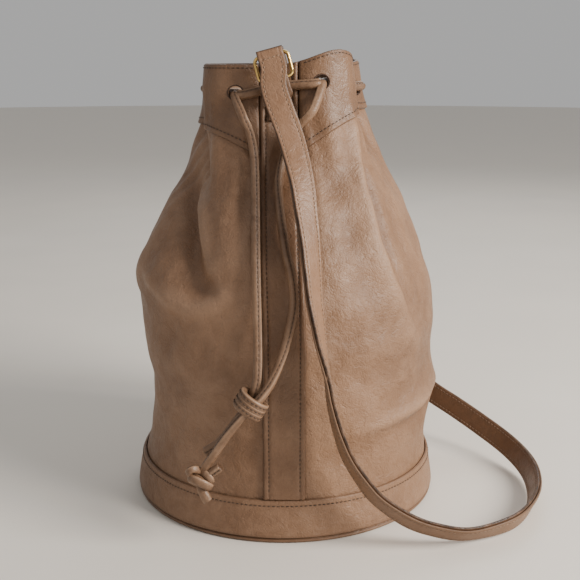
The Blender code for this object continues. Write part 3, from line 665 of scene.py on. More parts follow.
def leather(name, colour, shadow, polish, edge, rough=(0.40, 0.60), grain=0.0012, bump=0.30,
            crease=0.5):
    """Pebbled leather: mottled, burnished on ridges and edges, with painted shade in folds and
    grooves and wherever the wear value carries it.
    """
    made, tree, place = new_material(name)
    patches = noise(tree, place, 11.0, 5.0, 0.6)
    mottle = noise(tree, place, 130.0, 4.0, 0.65)
    wrinkles = noise(tree, place, 95.0, 6.0, 0.62, 1.4)
    pebbles = cells(tree, place, 1 / grain, "SMOOTH_F1")
    veins = cells(tree, place, 210.0, "DISTANCE_TO_EDGE")
    wear, crest = [node(tree, "ShaderNodeAttribute", {}, "Fac", attribute_name=label)
                   for label in ("wear", "crest")]
    # Edge wear, and painted shade on the strap's far run, both darken toward the edge colour.
    scuffed_and_shaded = node(tree, "ShaderNodeMath", {
        0: wear, 1: spread(tree, mottle, 0.25, 0.60, 0.35, 1.15)}, operation="MULTIPLY")
    tone = mixed(tree, spread(tree, patches, 0.34, 0.66), (*shadow, 1), (*colour, 1))
    # Mottle and ridges mix toward polish; hollows and grooves (negative crest) mix toward shadow
    # as painted shade; grain toward shadow; worn edges and painted shade toward edge.
    for value, low, high, most, toward in (
            (mottle, 0.35, 0.75, 0.35, polish), (crest, 0.0, 1.0, 0.55, polish),
            (crest, 0.0, -1.0, 0.60, shadow), (pebbles, 0.30, 0.95, 0.22, shadow),
            (scuffed_and_shaded, 0.0, 1.0, 1.0, edge)):
        tone = mixed(tree, spread(tree, value, low, high, 0.0, most), tone, (*toward, 1))
    fine = raised(tree, pebbles, bump, 0.0005, invert=True)
    broken = raised(tree, spread(tree, veins, 0.0, 0.12), crease * 0.35, 0.0003, fine)
    wire(tree, tree.nodes["Principled BSDF"], {
        "Base Color": tone, "Roughness": spread(tree, wrinkles, 0.3, 0.7, *rough),
        "Specular IOR Level": 0.42, "Normal": raised(tree, wrinkles, crease, 0.0016, broken)})
    return made


def plain(name, colour, second, roughness, metallic=0.0, scale=300.0, bump=0.15):
    """A finish with slight variation: thread, board, brass or floor."""
    made, tree, place = new_material(name)
    grain = noise(tree, place, scale, 4.0)
    wire(tree, tree.nodes["Principled BSDF"], {
        "Base Color": mixed(tree, spread(tree, grain, 0.35, 0.7), (*colour, 1), (*second, 1)),
        "Roughness": spread(tree, grain, 0.3, 0.7, roughness - 0.06, roughness + 0.08),
        "Metallic": metallic, "Normal": raised(tree, grain, bump, 0.0002)})
    return made


TAN = leather("tan_leather", (0.250, 0.138, 0.076), (0.150, 0.076, 0.038), (0.335, 0.205, 0.128),
              (0.095, 0.046, 0.023), bump=0.45, crease=0.8)
BROWN = leather("brown_leather", (0.185, 0.098, 0.051), (0.112, 0.055, 0.027),
                (0.255, 0.150, 0.088), (0.062, 0.029, 0.014), rough=(0.34, 0.52), crease=0.6)
CORD = leather("cord_leather", (0.225, 0.126, 0.070), (0.080, 0.040, 0.020), (0.370, 0.235, 0.150),
               (0.070, 0.035, 0.018), rough=(0.36, 0.52), grain=0.0009, crease=0.4)
# The strap's edge colour is also its painted shade on the far run.
STRAP = leather("strap_leather", (0.235, 0.128, 0.072), (0.170, 0.088, 0.046),
                (0.320, 0.195, 0.124), (0.030, 0.014, 0.007), rough=(0.32, 0.50), grain=0.0010)
STRAP_BACK = leather("strap_lining_leather", (0.210, 0.115, 0.062), (0.150, 0.079, 0.041),
                     (0.265, 0.156, 0.092), (0.024, 0.012, 0.007), rough=(0.45, 0.62),
                     grain=0.0010, bump=0.25, crease=0.3)
INNER = leather("dark_leather", (0.052, 0.025, 0.014), (0.030, 0.014, 0.008),
                (0.080, 0.042, 0.025), (0.020, 0.011, 0.007), rough=(0.55, 0.78), bump=0.4)
SUEDE = leather("flesh_side", (0.150, 0.086, 0.050), (0.098, 0.053, 0.030),
                (0.205, 0.126, 0.080), (0.070, 0.038, 0.022), rough=(0.82, 0.96), grain=0.0007,
                bump=0.5)
THREAD = plain("thread", (0.042, 0.022, 0.012), (0.075, 0.042, 0.024), 0.62, bump=0.4)
PALE_THREAD = plain("strap_thread", (0.165, 0.098, 0.058), (0.260, 0.170, 0.112), 0.62, bump=0.4)
BRASS = plain("brass", (0.86, 0.60, 0.22), (0.70, 0.45, 0.15), 0.20, metallic=1.0, scale=160.0,
              bump=0.04)
BOARD = plain("board", (0.33, 0.29, 0.24), (0.25, 0.21, 0.17), 0.88)


# ------------------------------------------------------------ sewn leather
# Crest colours the leather: ridges burnished lighter, hollows of the folds given painted shade.
CREST_SCALE = 0.0026        # relief that counts as a full ridge


def crest_value(rise):
    return np.clip(rise / CREST_SCALE, -1, 1)


def half_grid(row_heights, side, start, near, steps):
    """Angles and heights of one half's grid and each column's edge distance."""
    angles, heights, distances = [], [], []
    for height_of in row_heights:
        _, length = measured_angles(height_of, side, [0])
        first = start + np.asarray(near)
        between = np.linspace(first[-1], length - first[-1], steps + 1)[1:-1]
        walk = np.concatenate([first, between, (length - first)[::-1]])
        row = measured_angles(height_of, side, walk)[0]
        angles.append(row)
        heights.append(height_of(row))
        distances.append(np.minimum(walk - start, length - start - walk))
    return np.array(angles), np.array(heights), np.array(distances)


EDGE_STEPS = (0, 0.0004, 0.0010, 0.0022, 0.0045)
PANEL_FOOT = 0.012
PANEL_ROWS, PANEL_COLUMNS = 170, 230
STITCH_LIFT = LAYER_GAP + LEATHER * 1.02    # from the layer below to a stitch


def body_panels():
    rows = [body_row(nominal) for nominal in np.linspace(PANEL_FOOT, YOKE_ROW, PANEL_ROWS)]
    rows += [shifted(yoke_seam, 0.005), shifted(yoke_seam, SEAM_LAP)]
    for name, side in (("body_panel_left", -1), ("body_panel_right", 1)):
        angles, heights, edge = half_grid(rows, side, BUTT_GAP / 2, EDGE_STEPS, PANEL_COLUMNS)
        points, normals, rise = on_bag(angles, heights)
        pile = Pile()
        full = rounding(edge)
        # Crest from the relief: painted shade in the hollows, burnish on the ridges.
        pile.sheet(points, normals, -LEATHER * (1 - full) / 2, -LEATHER * (1 + full) / 2,
                   under=1, crest=crest_value(rise))
        pile.piece(name + "_leather", [TAN, SUEDE], "body_leather", "bag", name)


def hole_frames():
    """Angle, cord direction and centre of each hole in the yoke."""
    frames = []
    for number, degrees in enumerate(HOLE_ANGLES):
        angle = np.array([math.radians(degrees)])
        height = rim_height(angle) - HOLE_BELOW_RIM
        normal = bag_normal(angle, height)[0]
        centre = bag_point(angle, height)[0] + normal * (OUTER_LAYER - FACING_LEATHER) / 2
        onward = np.cross([0, 0, 1], normal)
        inward = 1 if number % 2 == 0 else -1
        direction = unit(-inward * normal * 0.94 + onward * 0.34)
        frames.append((degrees, direction, centre, normal))
    return frames


def cut_holes(piece, frames):
    """Cuts the cord's holes through a piece with one boolean."""
    shape = bmesh.new()
    for _, direction, centre, _ in frames:
        turned = Vector(direction).to_track_quat("Z", "Y").to_matrix().to_4x4()
        turned.translation = centre
        bmesh.ops.create_cone(shape, cap_ends=True, segments=28, radius1=HOLE_DIAMETER / 2,
                              radius2=HOLE_DIAMETER / 2, depth=0.018, matrix=turned)
    mesh = bpy.data.meshes.new("holes")
    shape.to_mesh(mesh)
    shape.free()
    cutter = linked("holes", mesh)
    cut = piece.modifiers.new("holes", "BOOLEAN")
    cut.operation = "DIFFERENCE"
    cut.object = cutter
    bpy.context.view_layer.update()
    final = bpy.data.meshes.new_from_object(piece.evaluated_get(
        bpy.context.evaluated_depsgraph_get()))
    piece.modifiers.clear()
    piece.data = final
    bpy.data.objects.remove(cutter)


def shifted(height_of, up):
    return lambda angle: height_of(angle) + up


def row_stack(bottom, top, edge_steps, between, top_steps=None):
    """Row heights from a bottom edge to a top edge, close together at both,
    with each row's distance from the nearer edge as a function of angle."""
    top_steps = edge_steps if top_steps is None else top_steps
    rows = [shifted(bottom, d) for d in edge_steps]
    for f in np.linspace(0, 1, between + 2)[1:-1]:
        rows.append(lambda a, f=f: (bottom(a) + edge_steps[-1]) * (1 - f)
                    + (top(a) - top_steps[-1]) * f)
    rows += [shifted(top, -d) for d in reversed(top_steps)]
    return rows


def turned_in(below):
    """How far leather turned over the rim reaches inward, below the edge."""
    return np.interp(below, (0, 0.0006, 0.0018, 0.0026), (0.0008, 0.0016, 0.0016, 0))


def level(height):
    return lambda angle: height + 0 * angle


def yokes():
    rows = row_stack(yoke_seam, rim_height, ROLL_STEPS, 26, RIM_STEPS)
    start = STRIP_WIDTH / 2 + BUTT_GAP
    for name, side in (("yoke_left", -1), ("yoke_right", 1)):
        angles, heights, edge = half_grid(rows, side, start, EDGE_STEPS, 150)
        points, normals, rise = on_bag(angles, heights)
        above = heights - yoke_seam(angles)
        below = rim_height(angles) - heights
        thick = LEATHER * np.minimum(roll(above), roll(below, RIM_INSET)) * rounding(edge)
        pile = Pile()
        wear = np.maximum(edge_wear(above, 0.0012), edge_wear(below, 0.0016)) * 0.7
        # Painted shade in the stitch grooves by the seam and the rim.
        shade = painted_groove_shade(above) + painted_groove_shade(below, RIM_INSET)
        pile.sheet(points, normals, LAYER_GAP + thick, LAYER_GAP - turned_in(below), under=1,
                   wear=wear, crest=crest_value(rise) + shade)
        pile.piece(name + "_leather", [BROWN, INNER, THREAD], "dark_leather", "bag", name,
                   [f for f in hole_frames() if f[0] * side > 0])
        line = np.linspace(0.004, 0.996, 500)
        threads = Pile()
        for height_of, inset in ((yoke_seam, STITCH_INSET), (rim_height, -RIM_INSET)):
            seam_row = shifted(height_of, inset)
            length = measured_angles(seam_row, side, [0])[1]
            walk = start + 0.003 + line * (length - 2 * start - 0.006)
            turns = measured_angles(seam_row, side, walk)[0]
            points, normals, _ = on_bag(turns, seam_row(turns), STITCH_LIFT)
            add_stitches(threads, points, normals, look=0)
        threads.piece(name + "_stitches", [THREAD], "dark_leather", "bag")


def hole_lips():
    """Dark rings round the rims of the holes."""
    pile = Pile()
    turn = np.linspace(0, 2 * math.pi, 40, endpoint=False)
    radius = HOLE_DIAMETER / 2 + 0.0002
    for _, _, centre, normal in hole_frames():
        side = unit(np.cross(normal, [0, 0, 1]))
        up = np.cross(side, normal)
        middle = centre + normal * (OUTER_LAYER + FACING_LEATHER) / 2
        path = (middle + np.outer(np.cos(turn), side) * radius * 1.08
                + np.outer(np.sin(turn), up) * radius)
        add_cord(pile, path, 0.0006, normal, closed=True, stitched=False)
    pile.piece("hole_lips", [INNER], "dark_leather", "bag")


def ring_grid(row_heights, steps):
    """Angles and heights of rows that run right round the bag."""
    angles, heights = [], []
    for height_of in row_heights:
        halves = []
        for side in (1, -1):
            length = measured_angles(height_of, side, [0])[1]
            walk = np.linspace(0, length, steps + 1)
            halves.append(measured_angles(height_of, side, walk)[0])
        row = np.concatenate([halves[0], halves[1][1:-1][::-1]])
        angles.append(row)
        heights.append(height_of(row))
    return np.array(angles), np.array(heights)


def rim_facing():
    rows = row_stack(shifted(yoke_seam, SEAM_LAP + BUTT_GAP), shifted(rim_height, -0.0006),
                     EDGE_STEPS, 12)
    angles, heights = ring_grid(rows, 170)
    points, normals, _ = on_bag(angles, heights)
    edge = np.minimum(heights - heights[:1], heights[-1:] - heights)
    full = rounding(edge)
    pile = Pile()
    pile.sheet(points, normals, -FACING_LEATHER * (1 - full) / 2,
               -FACING_LEATHER * (1 + full) / 2, wrap=True, wear=edge_wear(edge))
    pile.piece("rim_facing_leather", [SUEDE], "inner_leather", "bag", "rim_facing",
               hole_frames())


def base_band():
    rows = row_stack(level(BAND_FOOT), level(BAND_HEIGHT), ROLL_STEPS, 3)
    angles, heights = ring_grid(rows, 190)
    points, normals, rise = on_bag(angles, heights)
    above, below = heights - BAND_FOOT, BAND_HEIGHT - heights
    thick = LEATHER * np.minimum(rounding(above), roll(below))
    pile = Pile()
    # The crest carries painted shade in the folds and in the stitch groove.
    pile.sheet(points, normals, LAYER_GAP + thick, LAYER_GAP, wrap=True,
               wear=np.maximum(edge_wear(below, 0.0014) * 0.5, edge_wear(above, 0.003) * 0.6),
               crest=crest_value(rise) + painted_groove_shade(below))
    turn = np.linspace(-math.pi, math.pi, 900, endpoint=False)
    points, normals, _ = on_bag(turn, BAND_HEIGHT - STITCH_INSET + 0 * turn, STITCH_LIFT)
    add_stitches(pile, points, normals, closed=True)
    pile.piece("base_band_leather", [TAN, THREAD], "body_leather", "bag", "base_band")


def strips():
    outer = STRIP_WIDTH / 2 - ROLL_STEPS
    across = np.concatenate([-outer, [-0.002, 0.0, 0.002], outer[::-1]])
    rows = [level(BAND_HEIGHT + BUTT_GAP)]
    rows += [body_row(nominal) for nominal in np.linspace(0.034, YOKE_ROW, 130)]
    rows += [(lambda a, f=f: (yoke_seam(a) + 0.002) * (1 - f) + (rim_height(a) - 0.0045) * f)
             for f in np.linspace(0, 1, 30)]
    rows += [shifted(rim_height, -d) for d in (0.0022, 0.0010, 0.0004, 0)]
    for name, back in (("front_strip", False), ("back_strip", True)):
        angles, heights = [], []
        for height_of in rows:
            one, other = [measured_angles(height_of, side,
                                          [-abs(d) - 1e-9 if back else abs(d) for d in across])[0]
                          for side in (1, -1)]
            if back:
                row = np.where(across < 0, one, other % (2 * math.pi))
            else:
                row = np.where(across < 0, other, one)
            angles.append(row)
            heights.append(height_of(row))
        angles, heights = np.array(angles), np.array(heights)
        if back:
            angles = np.where(angles > math.pi, angles - 2 * math.pi, angles)
        points, normals, rise = on_bag(angles, heights)
        edge = np.broadcast_to(STRIP_WIDTH / 2 - np.abs(across), heights.shape)
        below = rim_height(angles) - heights
        thick = LEATHER * np.minimum(roll(edge) * 1.08, 1.5 * rounding(below))
        pile = Pile()
        # The crest carries painted shade in the folds and in the stitch grooves.
        pile.sheet(points, normals, LAYER_GAP + thick, LAYER_GAP - turned_in(below), under=2,
                   wear=np.maximum(edge_wear(edge, 0.0012) * 0.6, edge_wear(below, 0.0015) * 0.7),
                   crest=crest_value(rise) + painted_groove_shade(edge))
        for side in (-1, 1):
            column = np.argmin(np.abs(across - side * (STRIP_WIDTH / 2 - STITCH_INSET)))
            line = points[3:-3, column] + normals[3:-3, column] * (LAYER_GAP + LEATHER * 1.10)
            add_stitches(pile, line, normals[3:-3, column])
        pile.piece(name + "_leather", [BROWN, THREAD, SUEDE], "dark_leather", "bag", name)


def base_pieces():
    turn = np.linspace(0, 2 * math.pi, 240, endpoint=False)
    middle = BASE_PANEL_RADIUS + PIPING_RADIUS + 2 * BUTT_GAP
    path = np.stack([middle * np.cos(turn), middle * np.sin(turn),
                     0 * turn + PIPING_RADIUS + 0.0001], axis=1)
    pile = Pile()
    add_cord(pile, path, PIPING_RADIUS, (0, 0, 1), closed=True, stitched=False)
    pile.piece("base_piping_leather", [BROWN], "body_leather", "bag", "base_piping")
    for name, look in (("base_panel", TAN), ("base_stiffener", BOARD)):
        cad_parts[name].material_slots[0].material = look


# --------------------------------------------------------------- drawstring
def drawstring_loop():
    """The cord's run round the mouth, through all eight holes."""
    route = []
    holes = hole_frames()
    for index, (degrees, direction, centre, normal) in enumerate(holes):
        ends = [centre - direction * CORD_BEND, centre, centre + direction * CORD_BEND]
        if abs(degrees) < 40:
            toward = np.array([-math.copysign(1.0, degrees), 0.0, 0.0])
            ends[1] = centre + toward * 0.0016 - (0, 0, 0.0010)
            ends[2 if degrees < 0 else 0] = (centre + normal * 0.0050 + toward * 0.0062
                                             - (0, 0, 0.0022))
        route += ends
        following = holes[(index + 1) % len(holes)][0]
        middle = math.radians((degrees + (following - degrees) % 360 / 2 + 180) % 360 - 180)
        offset = CORD_STAND_OFF if index % 2 == 1 else -CORD_BEND
        angle = np.array([middle])
        height = rim_height(angle) - HOLE_BELOW_RIM
        if abs(middle) < 0.1:
            height = height + 0.0025
        route.append((bag_point(angle, height) + bag_normal(angle, height) * offset)[0])
    pile = Pile()
    add_cord(pile, smooth_path(route, 420, closed=True), CORD_DIAMETER / 2, (0, 0, 1), closed=True)
    pile.piece("drawstring_loop_cord", [CORD, THREAD], "cord_leather", "bag", "drawstring_loop")


def turning(keys, samples):
    """Directions along a path from (share of its length, direction) keys."""
    shares, ways = zip(*keys)
    return unit(interpolated(np.linspace(0, 1, samples), shares, np.array(ways, float)))


LEFT_SEAM = [(0.0, (0.3, -0.8, 0.5)), (0.10, (0.8, -0.6, 0.1)), (0.78, (0.8, -0.6, 0.0)),
             (1.0, (0.5, -0.8, -0.3))]
RIGHT_SEAM = [(0.0, (-0.6, -0.4, 0.6)), (0.14, (-0.6, -0.7, 0.4)), (0.30, (0.4, -0.9, 0.1)),
              (0.42, (0.8, -0.6, 0.0)), (0.66, (0.7, -0.7, -0.2)), (0.80, (-0.2, -1.0, 0.2)),
              (1.0, (-0.8, -0.5, 0.3))]


def strands():
    """The drawstring's two hanging ends, out of the holes on either side."""
    knot = end_knot()
    into_knot = [tuple(END_KNOT_CENTRE + (0.0018, 0.0005, 0.0060)),
                 tuple(END_KNOT_CENTRE + (0.0004, 0.0, 0.0005))]
    holes = hole_frames()
    for name, hole, route, seam, far_end, pieces in (
            ("drawstring_left", holes[-1], LEFT_STRAND, LEFT_SEAM, "bare", []),
            ("drawstring_right", holes[0], RIGHT_STRAND + into_knot, RIGHT_SEAM, "knot", [knot])):
        _, _, centre, normal = hole
        inside = [tuple(centre + normal * out + (0, 0, drop))
                  for out, drop in ((-0.0065, -0.0018), (-0.0015, -0.0020), (0.0036, -0.0030))]
        path = smooth_path(inside + route[2:], 270)
        pile = Pile()
        add_cord(pile, path, CORD_DIAMETER / 2, turning(seam, len(path)))
        strand = pile.piece(name + "_cord", [CORD, THREAD], "cord_leather", stands_for=name)
        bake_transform(strand)


KNOT_ACROSS = 0.0094        # the wraps' middle line, across and front to back
KNOT_DEEP = 0.0066


def slider_knot():
    """The strip of leather wrapped three times round both cords."""
    turns, per_turn = 3.15, 48
    t = np.linspace(0, 1, int(turns * per_turn) + 1)
    across = unit(np.cross(KNOT_AXIS, (0, 1, 0)))
    toward = unit(np.cross(across, KNOT_AXIS))
    angle = 2 * math.pi * turns * t + 0.9
    tuck = np.clip(np.minimum(t, 1 - t) / 0.05, 0, 1)
    radial = unit(np.outer(np.cos(angle) / KNOT_ACROSS, across)
                  + np.outer(np.sin(angle) / KNOT_DEEP, toward))
    path = (KNOT_CENTRE + np.outer((t - 0.5) * 0.0128, KNOT_AXIS)
            + np.outer(np.cos(angle) * (KNOT_ACROSS - 0.0016 * (1 - tuck)), across)
            + np.outer(np.sin(angle) * (KNOT_DEEP - 0.0016 * (1 - tuck)), toward))
    pile = Pile()
    add_cord(pile, path, 0.0034, radial * 0.7 - KNOT_AXIS * 0.75, flatten=radial,
             taper=0.60 + 0.40 * tuck)
    pile.piece("slider_wraps", [CORD, THREAD], "cord_leather", "slider", "slider_knot")


# The end knot's closed loops: place, half width and half height, how far each
# leans, and the cord's radius. Then its tails: their routes and seams.
KNOT_LOOPS = (((-0.0005, -0.0010, -0.0010), 0.00676, 0.00260, math.radians(-28), 0.0040),
              ((-0.0038, 0.0002, 0.0052), 0.003224, 0.00546, 0.5, 0.0031),
              ((0.0030, 0.0008, 0.0022), 0.00416, 0.00416, -1.0, 0.0033))
LOOP_DEPTH = 0.0048
KNOT_TAILS = (([(0.0, -0.001, -0.003), (0.0016, -0.0030, -0.0072), (0.0036, -0.0040, -0.0110),
                (0.0052, -0.0042, -0.0138)], (-0.8, -0.5, 0)),
              ([(0.0, 0.0, 0.0), (0.0060, -0.0020, 0.0050), (0.0108, -0.0036, 0.0092),
                (0.0142, -0.0040, 0.0118)], (0.5, -0.6, 0.6)))


def end_knot():
    """An overhand knot in the cord, with its short cut tails."""
    t = np.linspace(0, 2 * math.pi, 120, endpoint=False)
    pile = Pile()
    for centre, wide, tall, lean, radius in KNOT_LOOPS:
        x, z = wide * np.cos(t), tall * np.sin(t)
        turned = np.stack([x * math.cos(lean) - z * math.sin(lean), -LOOP_DEPTH * np.sin(t),
                           x * math.sin(lean) + z * math.cos(lean)], axis=1)
        add_cord(pile, END_KNOT_CENTRE + np.array(centre) + turned, radius,
                 unit(turned + (0, 0, 0.003)), closed=True, flatten=unit(turned))
    for reach, seam in KNOT_TAILS:
        tail = smooth_path(END_KNOT_CENTRE + np.array(reach), 40)
        add_cord(pile, tail, 0.0037, seam, flatten=np.tile([0.0, 1.0, 0.0], (len(tail), 1)))
    return pile.piece("end_knot_cord", [CORD, THREAD], "cord_leather", "drawstring", "end_knot")


# -------------------------------------------------------------------- strap
def ring_frame(side):
    x, reach, z = RING_PIVOT
    up = np.array([-math.sin(RING_TILT), 0, math.cos(RING_TILT)])
    width = np.array([math.cos(RING_TILT), 0, math.sin(RING_TILT)])
    outward = np.array([0.0, side, 0.0])
    lower = np.array([x, side * reach, z])
    return lower + up * RING_BARS, lower, up, width, outward


BAR_BEND = WIRE_RADIUS + RING_CLEARANCE + STRAP_LINING / 2
STRAP_STAND_OFF = BAR_BEND + STRAP_LINING / 2 + STRAP_PLY_GAP / 2


def strap_line():
    """Centre line and frames of the strap: points, width directions, face."""
    front, _, up, width, outward = ring_frame(-1)
    back, _, _, _, backward = ring_frame(1)
    start = front + outward * STRAP_STAND_OFF
    end = back + backward * STRAP_STAND_OFF
    route = [(start, width), (start - up * 0.010 + outward * 0.0016, width)]
    route += [(np.array(point), np.array(wide)) for point, wide in STRAP_ROUTE]
    route += [(end - up * 0.010 + backward * 0.0016, width), (end, width)]
    line = smooth_path([np.concatenate([p, w]) for p, w in route], STRAP_STATIONS)
    points, wide = line[:, :3], line[:, 3:]
    for _ in range(6):
        wide[1:-1] = (wide[:-2] + 2 * wide[1:-1] + wide[2:]) / 4
    along = np.gradient(points, axis=0)
    along[0], along[-1] = -up, up
    along = unit(along)
    wide = squared(wide, along)
    return points, wide, np.cross(along, wide)


def across_strap(width):
    """Places across a strap, close together at its edges and its stitches."""
    inset = np.array([0, 0.0003, 0.0008, 0.0015, 0.0023, STRAP_STITCH_INSET, 0.0035, 0.0046])
    return np.concatenate([-width / 2 + inset, [-0.0025, 0, 0.0025], (width / 2 - inset)[::-1]])


def add_ply(pile, centres, wide, face, width, thickness, stitched=1, wear=1.0, painted_shade=0.0):
    """One ply of strap along its centre line; stitched is the side with the grooves
    and the last argument is how much painted shade, in the edge's colour, its face has."""
    across = across_strap(width)
    points = centres[:, None] + wide[:, None] * across[None, :, None]
    normals = np.broadcast_to(face[:, None], points.shape)
    walked = walked_along(centres)
    end = np.minimum(walked, walked[-1] - walked)[:, None]
    edge = np.minimum(width / 2 - np.abs(across)[None], end)
    full = rounding(edge)
    pressed = np.exp(-((width / 2 - np.abs(across) - STRAP_STITCH_INSET) / 0.0005)**2)[None]
    crown = 1 + 0.10 * (1 - (2 * across / width)**2)[None] - 0.28 * pressed
    upper = thickness / 2 * full * (crown if stitched > 0 else 1)
    lower = -thickness / 2 * full * (crown if stitched < 0 else 1)
    # Painted shade on the face, in the edge's colour.
    shade = np.broadcast_to(np.reshape(painted_shade, (-1, 1)), edge.shape)
    pile.sheet(points, normals, upper, lower,
               wear=np.maximum(wear * edge_wear(edge, 0.0012), shade))


# Heights of the outer ply's last rows above the rings' upper bars.
STRAP_ENDS = (0.0045, 0.0042, 0.0037, 0.0028, 0.0014)


def strap():
    points, wide, face = strap_line()
    up = ring_frame(-1)[2]
    outer = points + face * (STRAP_PLY_GAP + STRAP_OUTER) / 2
    ends = np.array(STRAP_ENDS)[:, None] * up
    outer = np.vstack([outer[0] + ends, outer, outer[-1] + ends[::-1]])
    outer_wide, outer_face = [np.pad(ways, ((len(ends), len(ends)), (0, 0)), "edge")
                              for ways in (wide, face)]
    pile = Pile()
    share = np.linspace(0, 1, len(outer))
    # Painted shade darkens the strap's far run, behind the bag.
    painted_shade = 0.42 * np.interp(share, (0.34, 0.46, 0.90, 1.0), (0, 1, 1, 0.4))
    add_ply(pile, outer, outer_wide, outer_face, STRAP_WIDTH, STRAP_OUTER, painted_shade=painted_shade)
    reach = STRAP_WIDTH / 2 - STRAP_STITCH_INSET
    top = STRAP_OUTER / 2 * 0.90
    for side in (-1, 1):
        line = outer + outer_wide * side * reach + outer_face * top
        add_stitches(pile, line[6:-6], outer_face[6:-6])
    for n in (6, -7):
        ends = np.linspace(-reach, reach, 12)[:, None]
        add_stitches(pile, outer[n] + outer_wide[n] * ends + outer_face[n] * (top + 0.0001),
                     np.tile(outer_face[n], (12, 1)))
    pile.piece("strap_outer_leather", [STRAP, PALE_THREAD], "body_leather", "strap",
               "strap_outer")

    rows = np.stack([points - face * (STRAP_PLY_GAP + STRAP_LINING) / 2, wide, face])
    for side in (-1, 1):
        bar, _, up, width, outward = ring_frame(side)
        bend = []
        for turn in np.radians(np.arange(12, 181, 12)):
            facing = outward * math.cos(turn) + up * math.sin(turn)
            bend.append((bar + facing * BAR_BEND, width, facing))
        for drop in (0.0015, 0.0035, 0.0055, 0.0075, 0.0085, 0.0091, 0.0095):
            bend.append((bar - outward * BAR_BEND - up * drop, width, -outward))
        bend = np.array(bend).swapaxes(0, 1)
        rows = np.hstack([bend[:, ::-1], rows] if side < 0 else [rows, bend])
    lining, lining_wide, lining_face = rows
    pile = Pile()
    add_ply(pile, lining, lining_wide, lining_face, STRAP_WIDTH - 0.0006, STRAP_LINING,
            stitched=-1, wear=0.4)
    for side in (-1, 1):
        line = lining + lining_wide * side * (reach - 0.0003) - lining_face * STRAP_LINING * 0.46
        add_stitches(pile, line[30:-30], -lining_face[30:-30])
    pile.piece("strap_lining_leather", [STRAP_BACK, PALE_THREAD], "dark_leather", "strap",
               "strap_lining")


WIRE_SIDES = 20


def rings():
    for name, side in (("ring_front", -1), ("ring_back", 1)):
        upper, lower, up, width, _ = ring_frame(side)
        middle = (upper + lower) / 2
        corners = []
        for quarter, signs in enumerate(((1, 1), (-1, 1), (-1, -1), (1, -1))):
            for turn in np.radians(np.linspace(quarter * 90, quarter * 90 + 90, 9)):
                along = signs[0] * (RING_HALF_WIDTH - RING_CORNER) + RING_CORNER * math.cos(turn)
                high = signs[1] * (RING_BARS / 2 - RING_CORNER) + RING_CORNER * math.sin(turn)
                corners.append(middle + width * along + up * high)
        path = np.array(corners)
        along = tangents(path, closed=True)
        depth = np.cross(width, up)
        turn = np.linspace(0, 2 * math.pi, WIRE_SIDES, endpoint=False)[:, None]
        tubes = path[:, None] + WIRE_RADIUS * (
            depth * np.cos(turn) + np.cross(along, depth)[:, None] * np.sin(turn))
        pile = Pile()
        pile.add(tubes, grid_faces(len(path), WIRE_SIDES, closed_rows=True))
        pile.piece(name + "_wire", [BRASS], "brass", name[5:] + "_ring", name)


TAB_HEIGHTS = (TAB_FOOT, 0.305, 0.311)


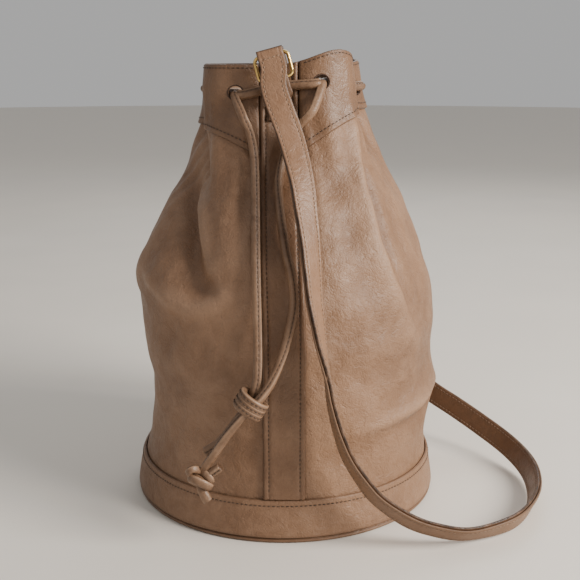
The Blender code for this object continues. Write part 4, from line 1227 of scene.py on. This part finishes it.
def strap_tabs():
    """Leather loops sewn on the strips, round the rings' lower bars."""
    bend = WIRE_RADIUS + RING_CLEARANCE + TAB_LEATHER / 2
    for name, side in (("strap_tab_front", -1), ("strap_tab_back", 1)):
        _, bar, up, width, outward = ring_frame(side)
        back_ply = OUTER_LAYER + 2 * LAYER_GAP + TAB_LEATHER / 2
        front_ply = back_ply + TAB_LEATHER + LAYER_GAP
        inset = np.array([0, 0.0003, 0.0008, 0.0015, 0.0030])
        across = np.concatenate([-TAB_WIDTH / 2 + inset, [-0.002, 0.002],
                                 (TAB_WIDTH / 2 - inset)[::-1]])

        def on_strip(height, offset):
            angle = np.arctan2(bar[0] + across - MOUTH_LEAN, 0.052)
            angle = angle if side < 0 else math.pi - angle
            heights = np.full(len(across), height)
            return bag_point(angle, heights) + bag_normal(angle, heights) * offset

        def flat(toward, rise, direction):
            return bar + outward * toward + up * rise + direction * across[:, None]

        mixed_way = unit(np.array([1.0, 0, 0]) + width)
        rows = [on_strip(height, back_ply) for height in TAB_HEIGHTS]
        rows += [flat(-bend + 0.0002, -0.0125, mixed_way), flat(-bend, -0.0070, width)]
        for turn in range(180, -1, -20):
            angle = math.radians(turn)
            rows.append(flat(bend * math.cos(angle), bend * math.sin(angle), width))
        rows += [flat(bend, -0.0070, width), flat(bend - 0.0002, -0.0125, mixed_way)]
        rows += [on_strip(height, front_ply) for height in reversed(TAB_HEIGHTS)]
        coarse = np.array(rows)
        fine = np.stack([smooth_path(coarse[:, c], 90) for c in range(len(across))], axis=1)
        normals = unit(np.cross(np.gradient(fine, axis=0), np.gradient(fine, axis=1)))
        walked = np.linspace(0, path_length(fine[:, 6]), len(fine))
        end = np.minimum(walked, walked[-1] - walked)[:, None]
        edge = np.minimum(TAB_WIDTH / 2 - np.abs(across)[None], end)
        half = TAB_LEATHER / 2 * rounding(edge)
        pile = Pile()
        pile.sheet(fine, normals, half, -half, wear=edge_wear(edge) * 0.6)
        pile.piece(name + "_leather", [BROWN], "dark_leather", "bag", name)


# -------------------------------------------------------------------- scene
FLOOR = plain("floor", (0.74, 0.69, 0.62), (0.76, 0.71, 0.64), 0.6, scale=8.0, bump=0.0)


def floor():
    mesh = bpy.data.meshes.new("floor")
    shape = bmesh.new()
    bmesh.ops.create_circle(shape, cap_ends=True, segments=64, radius=6.0)
    shape.to_mesh(mesh)
    shape.free()
    mesh.materials.append(FLOOR)
    ground = linked("floor", mesh)
    ground.location.z = -0.0002


def area_light(name, place, target, size, power, colour):
    data = bpy.data.lights.new(name, "AREA")
    data.shape = "DISK"
    data.size = size
    data.energy = power
    data.color = colour
    lamp = linked(name, data)
    lamp.location = place
    aim = Vector(target) - Vector(place)
    lamp.rotation_euler = aim.to_track_quat("-Z", "Y").to_euler()


CAMERA_PLACE = (0.004, -0.778, 0.352)
CAMERA_PITCH = math.radians(13.7)
SENSOR_WIDTH = 36.0
FOCAL_LENGTH = SENSOR_WIDTH * 976 / 580


def lights_and_camera():
    area_light("window", (1.35, -0.75, 0.95), (0, 0, 0.16), 0.9, 56, (1.0, 0.95, 0.89))
    area_light("room", (-1.1, -1.3, 1.2), (0, 0, 0.2), 1.6, 2, (0.95, 0.97, 1.0))
    area_light("behind", (0.4, 1.4, 1.3), (0, 0, 0.2), 1.2, 8, (1.0, 0.99, 0.97))
    world = bpy.data.worlds.new("room")
    world.use_nodes = True
    background = world.node_tree.nodes["Background"]
    background.inputs[0].default_value = (0.76, 0.755, 0.75, 1)
    background.inputs[1].default_value = 0.60
    bpy.context.scene.world = world
    data = bpy.data.cameras.new("camera")
    data.sensor_width = SENSOR_WIDTH
    data.lens = FOCAL_LENGTH
    camera = linked("camera", data)
    camera.location = CAMERA_PLACE
    camera.rotation_euler = (math.pi / 2 - CAMERA_PITCH, 0, 0)
    bpy.context.scene.camera = camera


body_panels()
yokes()
hole_lips()
rim_facing()
base_band()
strips()
base_pieces()
drawstring_loop()
strands()
slider_knot()
strap()
rings()
strap_tabs()
floor()
lights_and_camera()
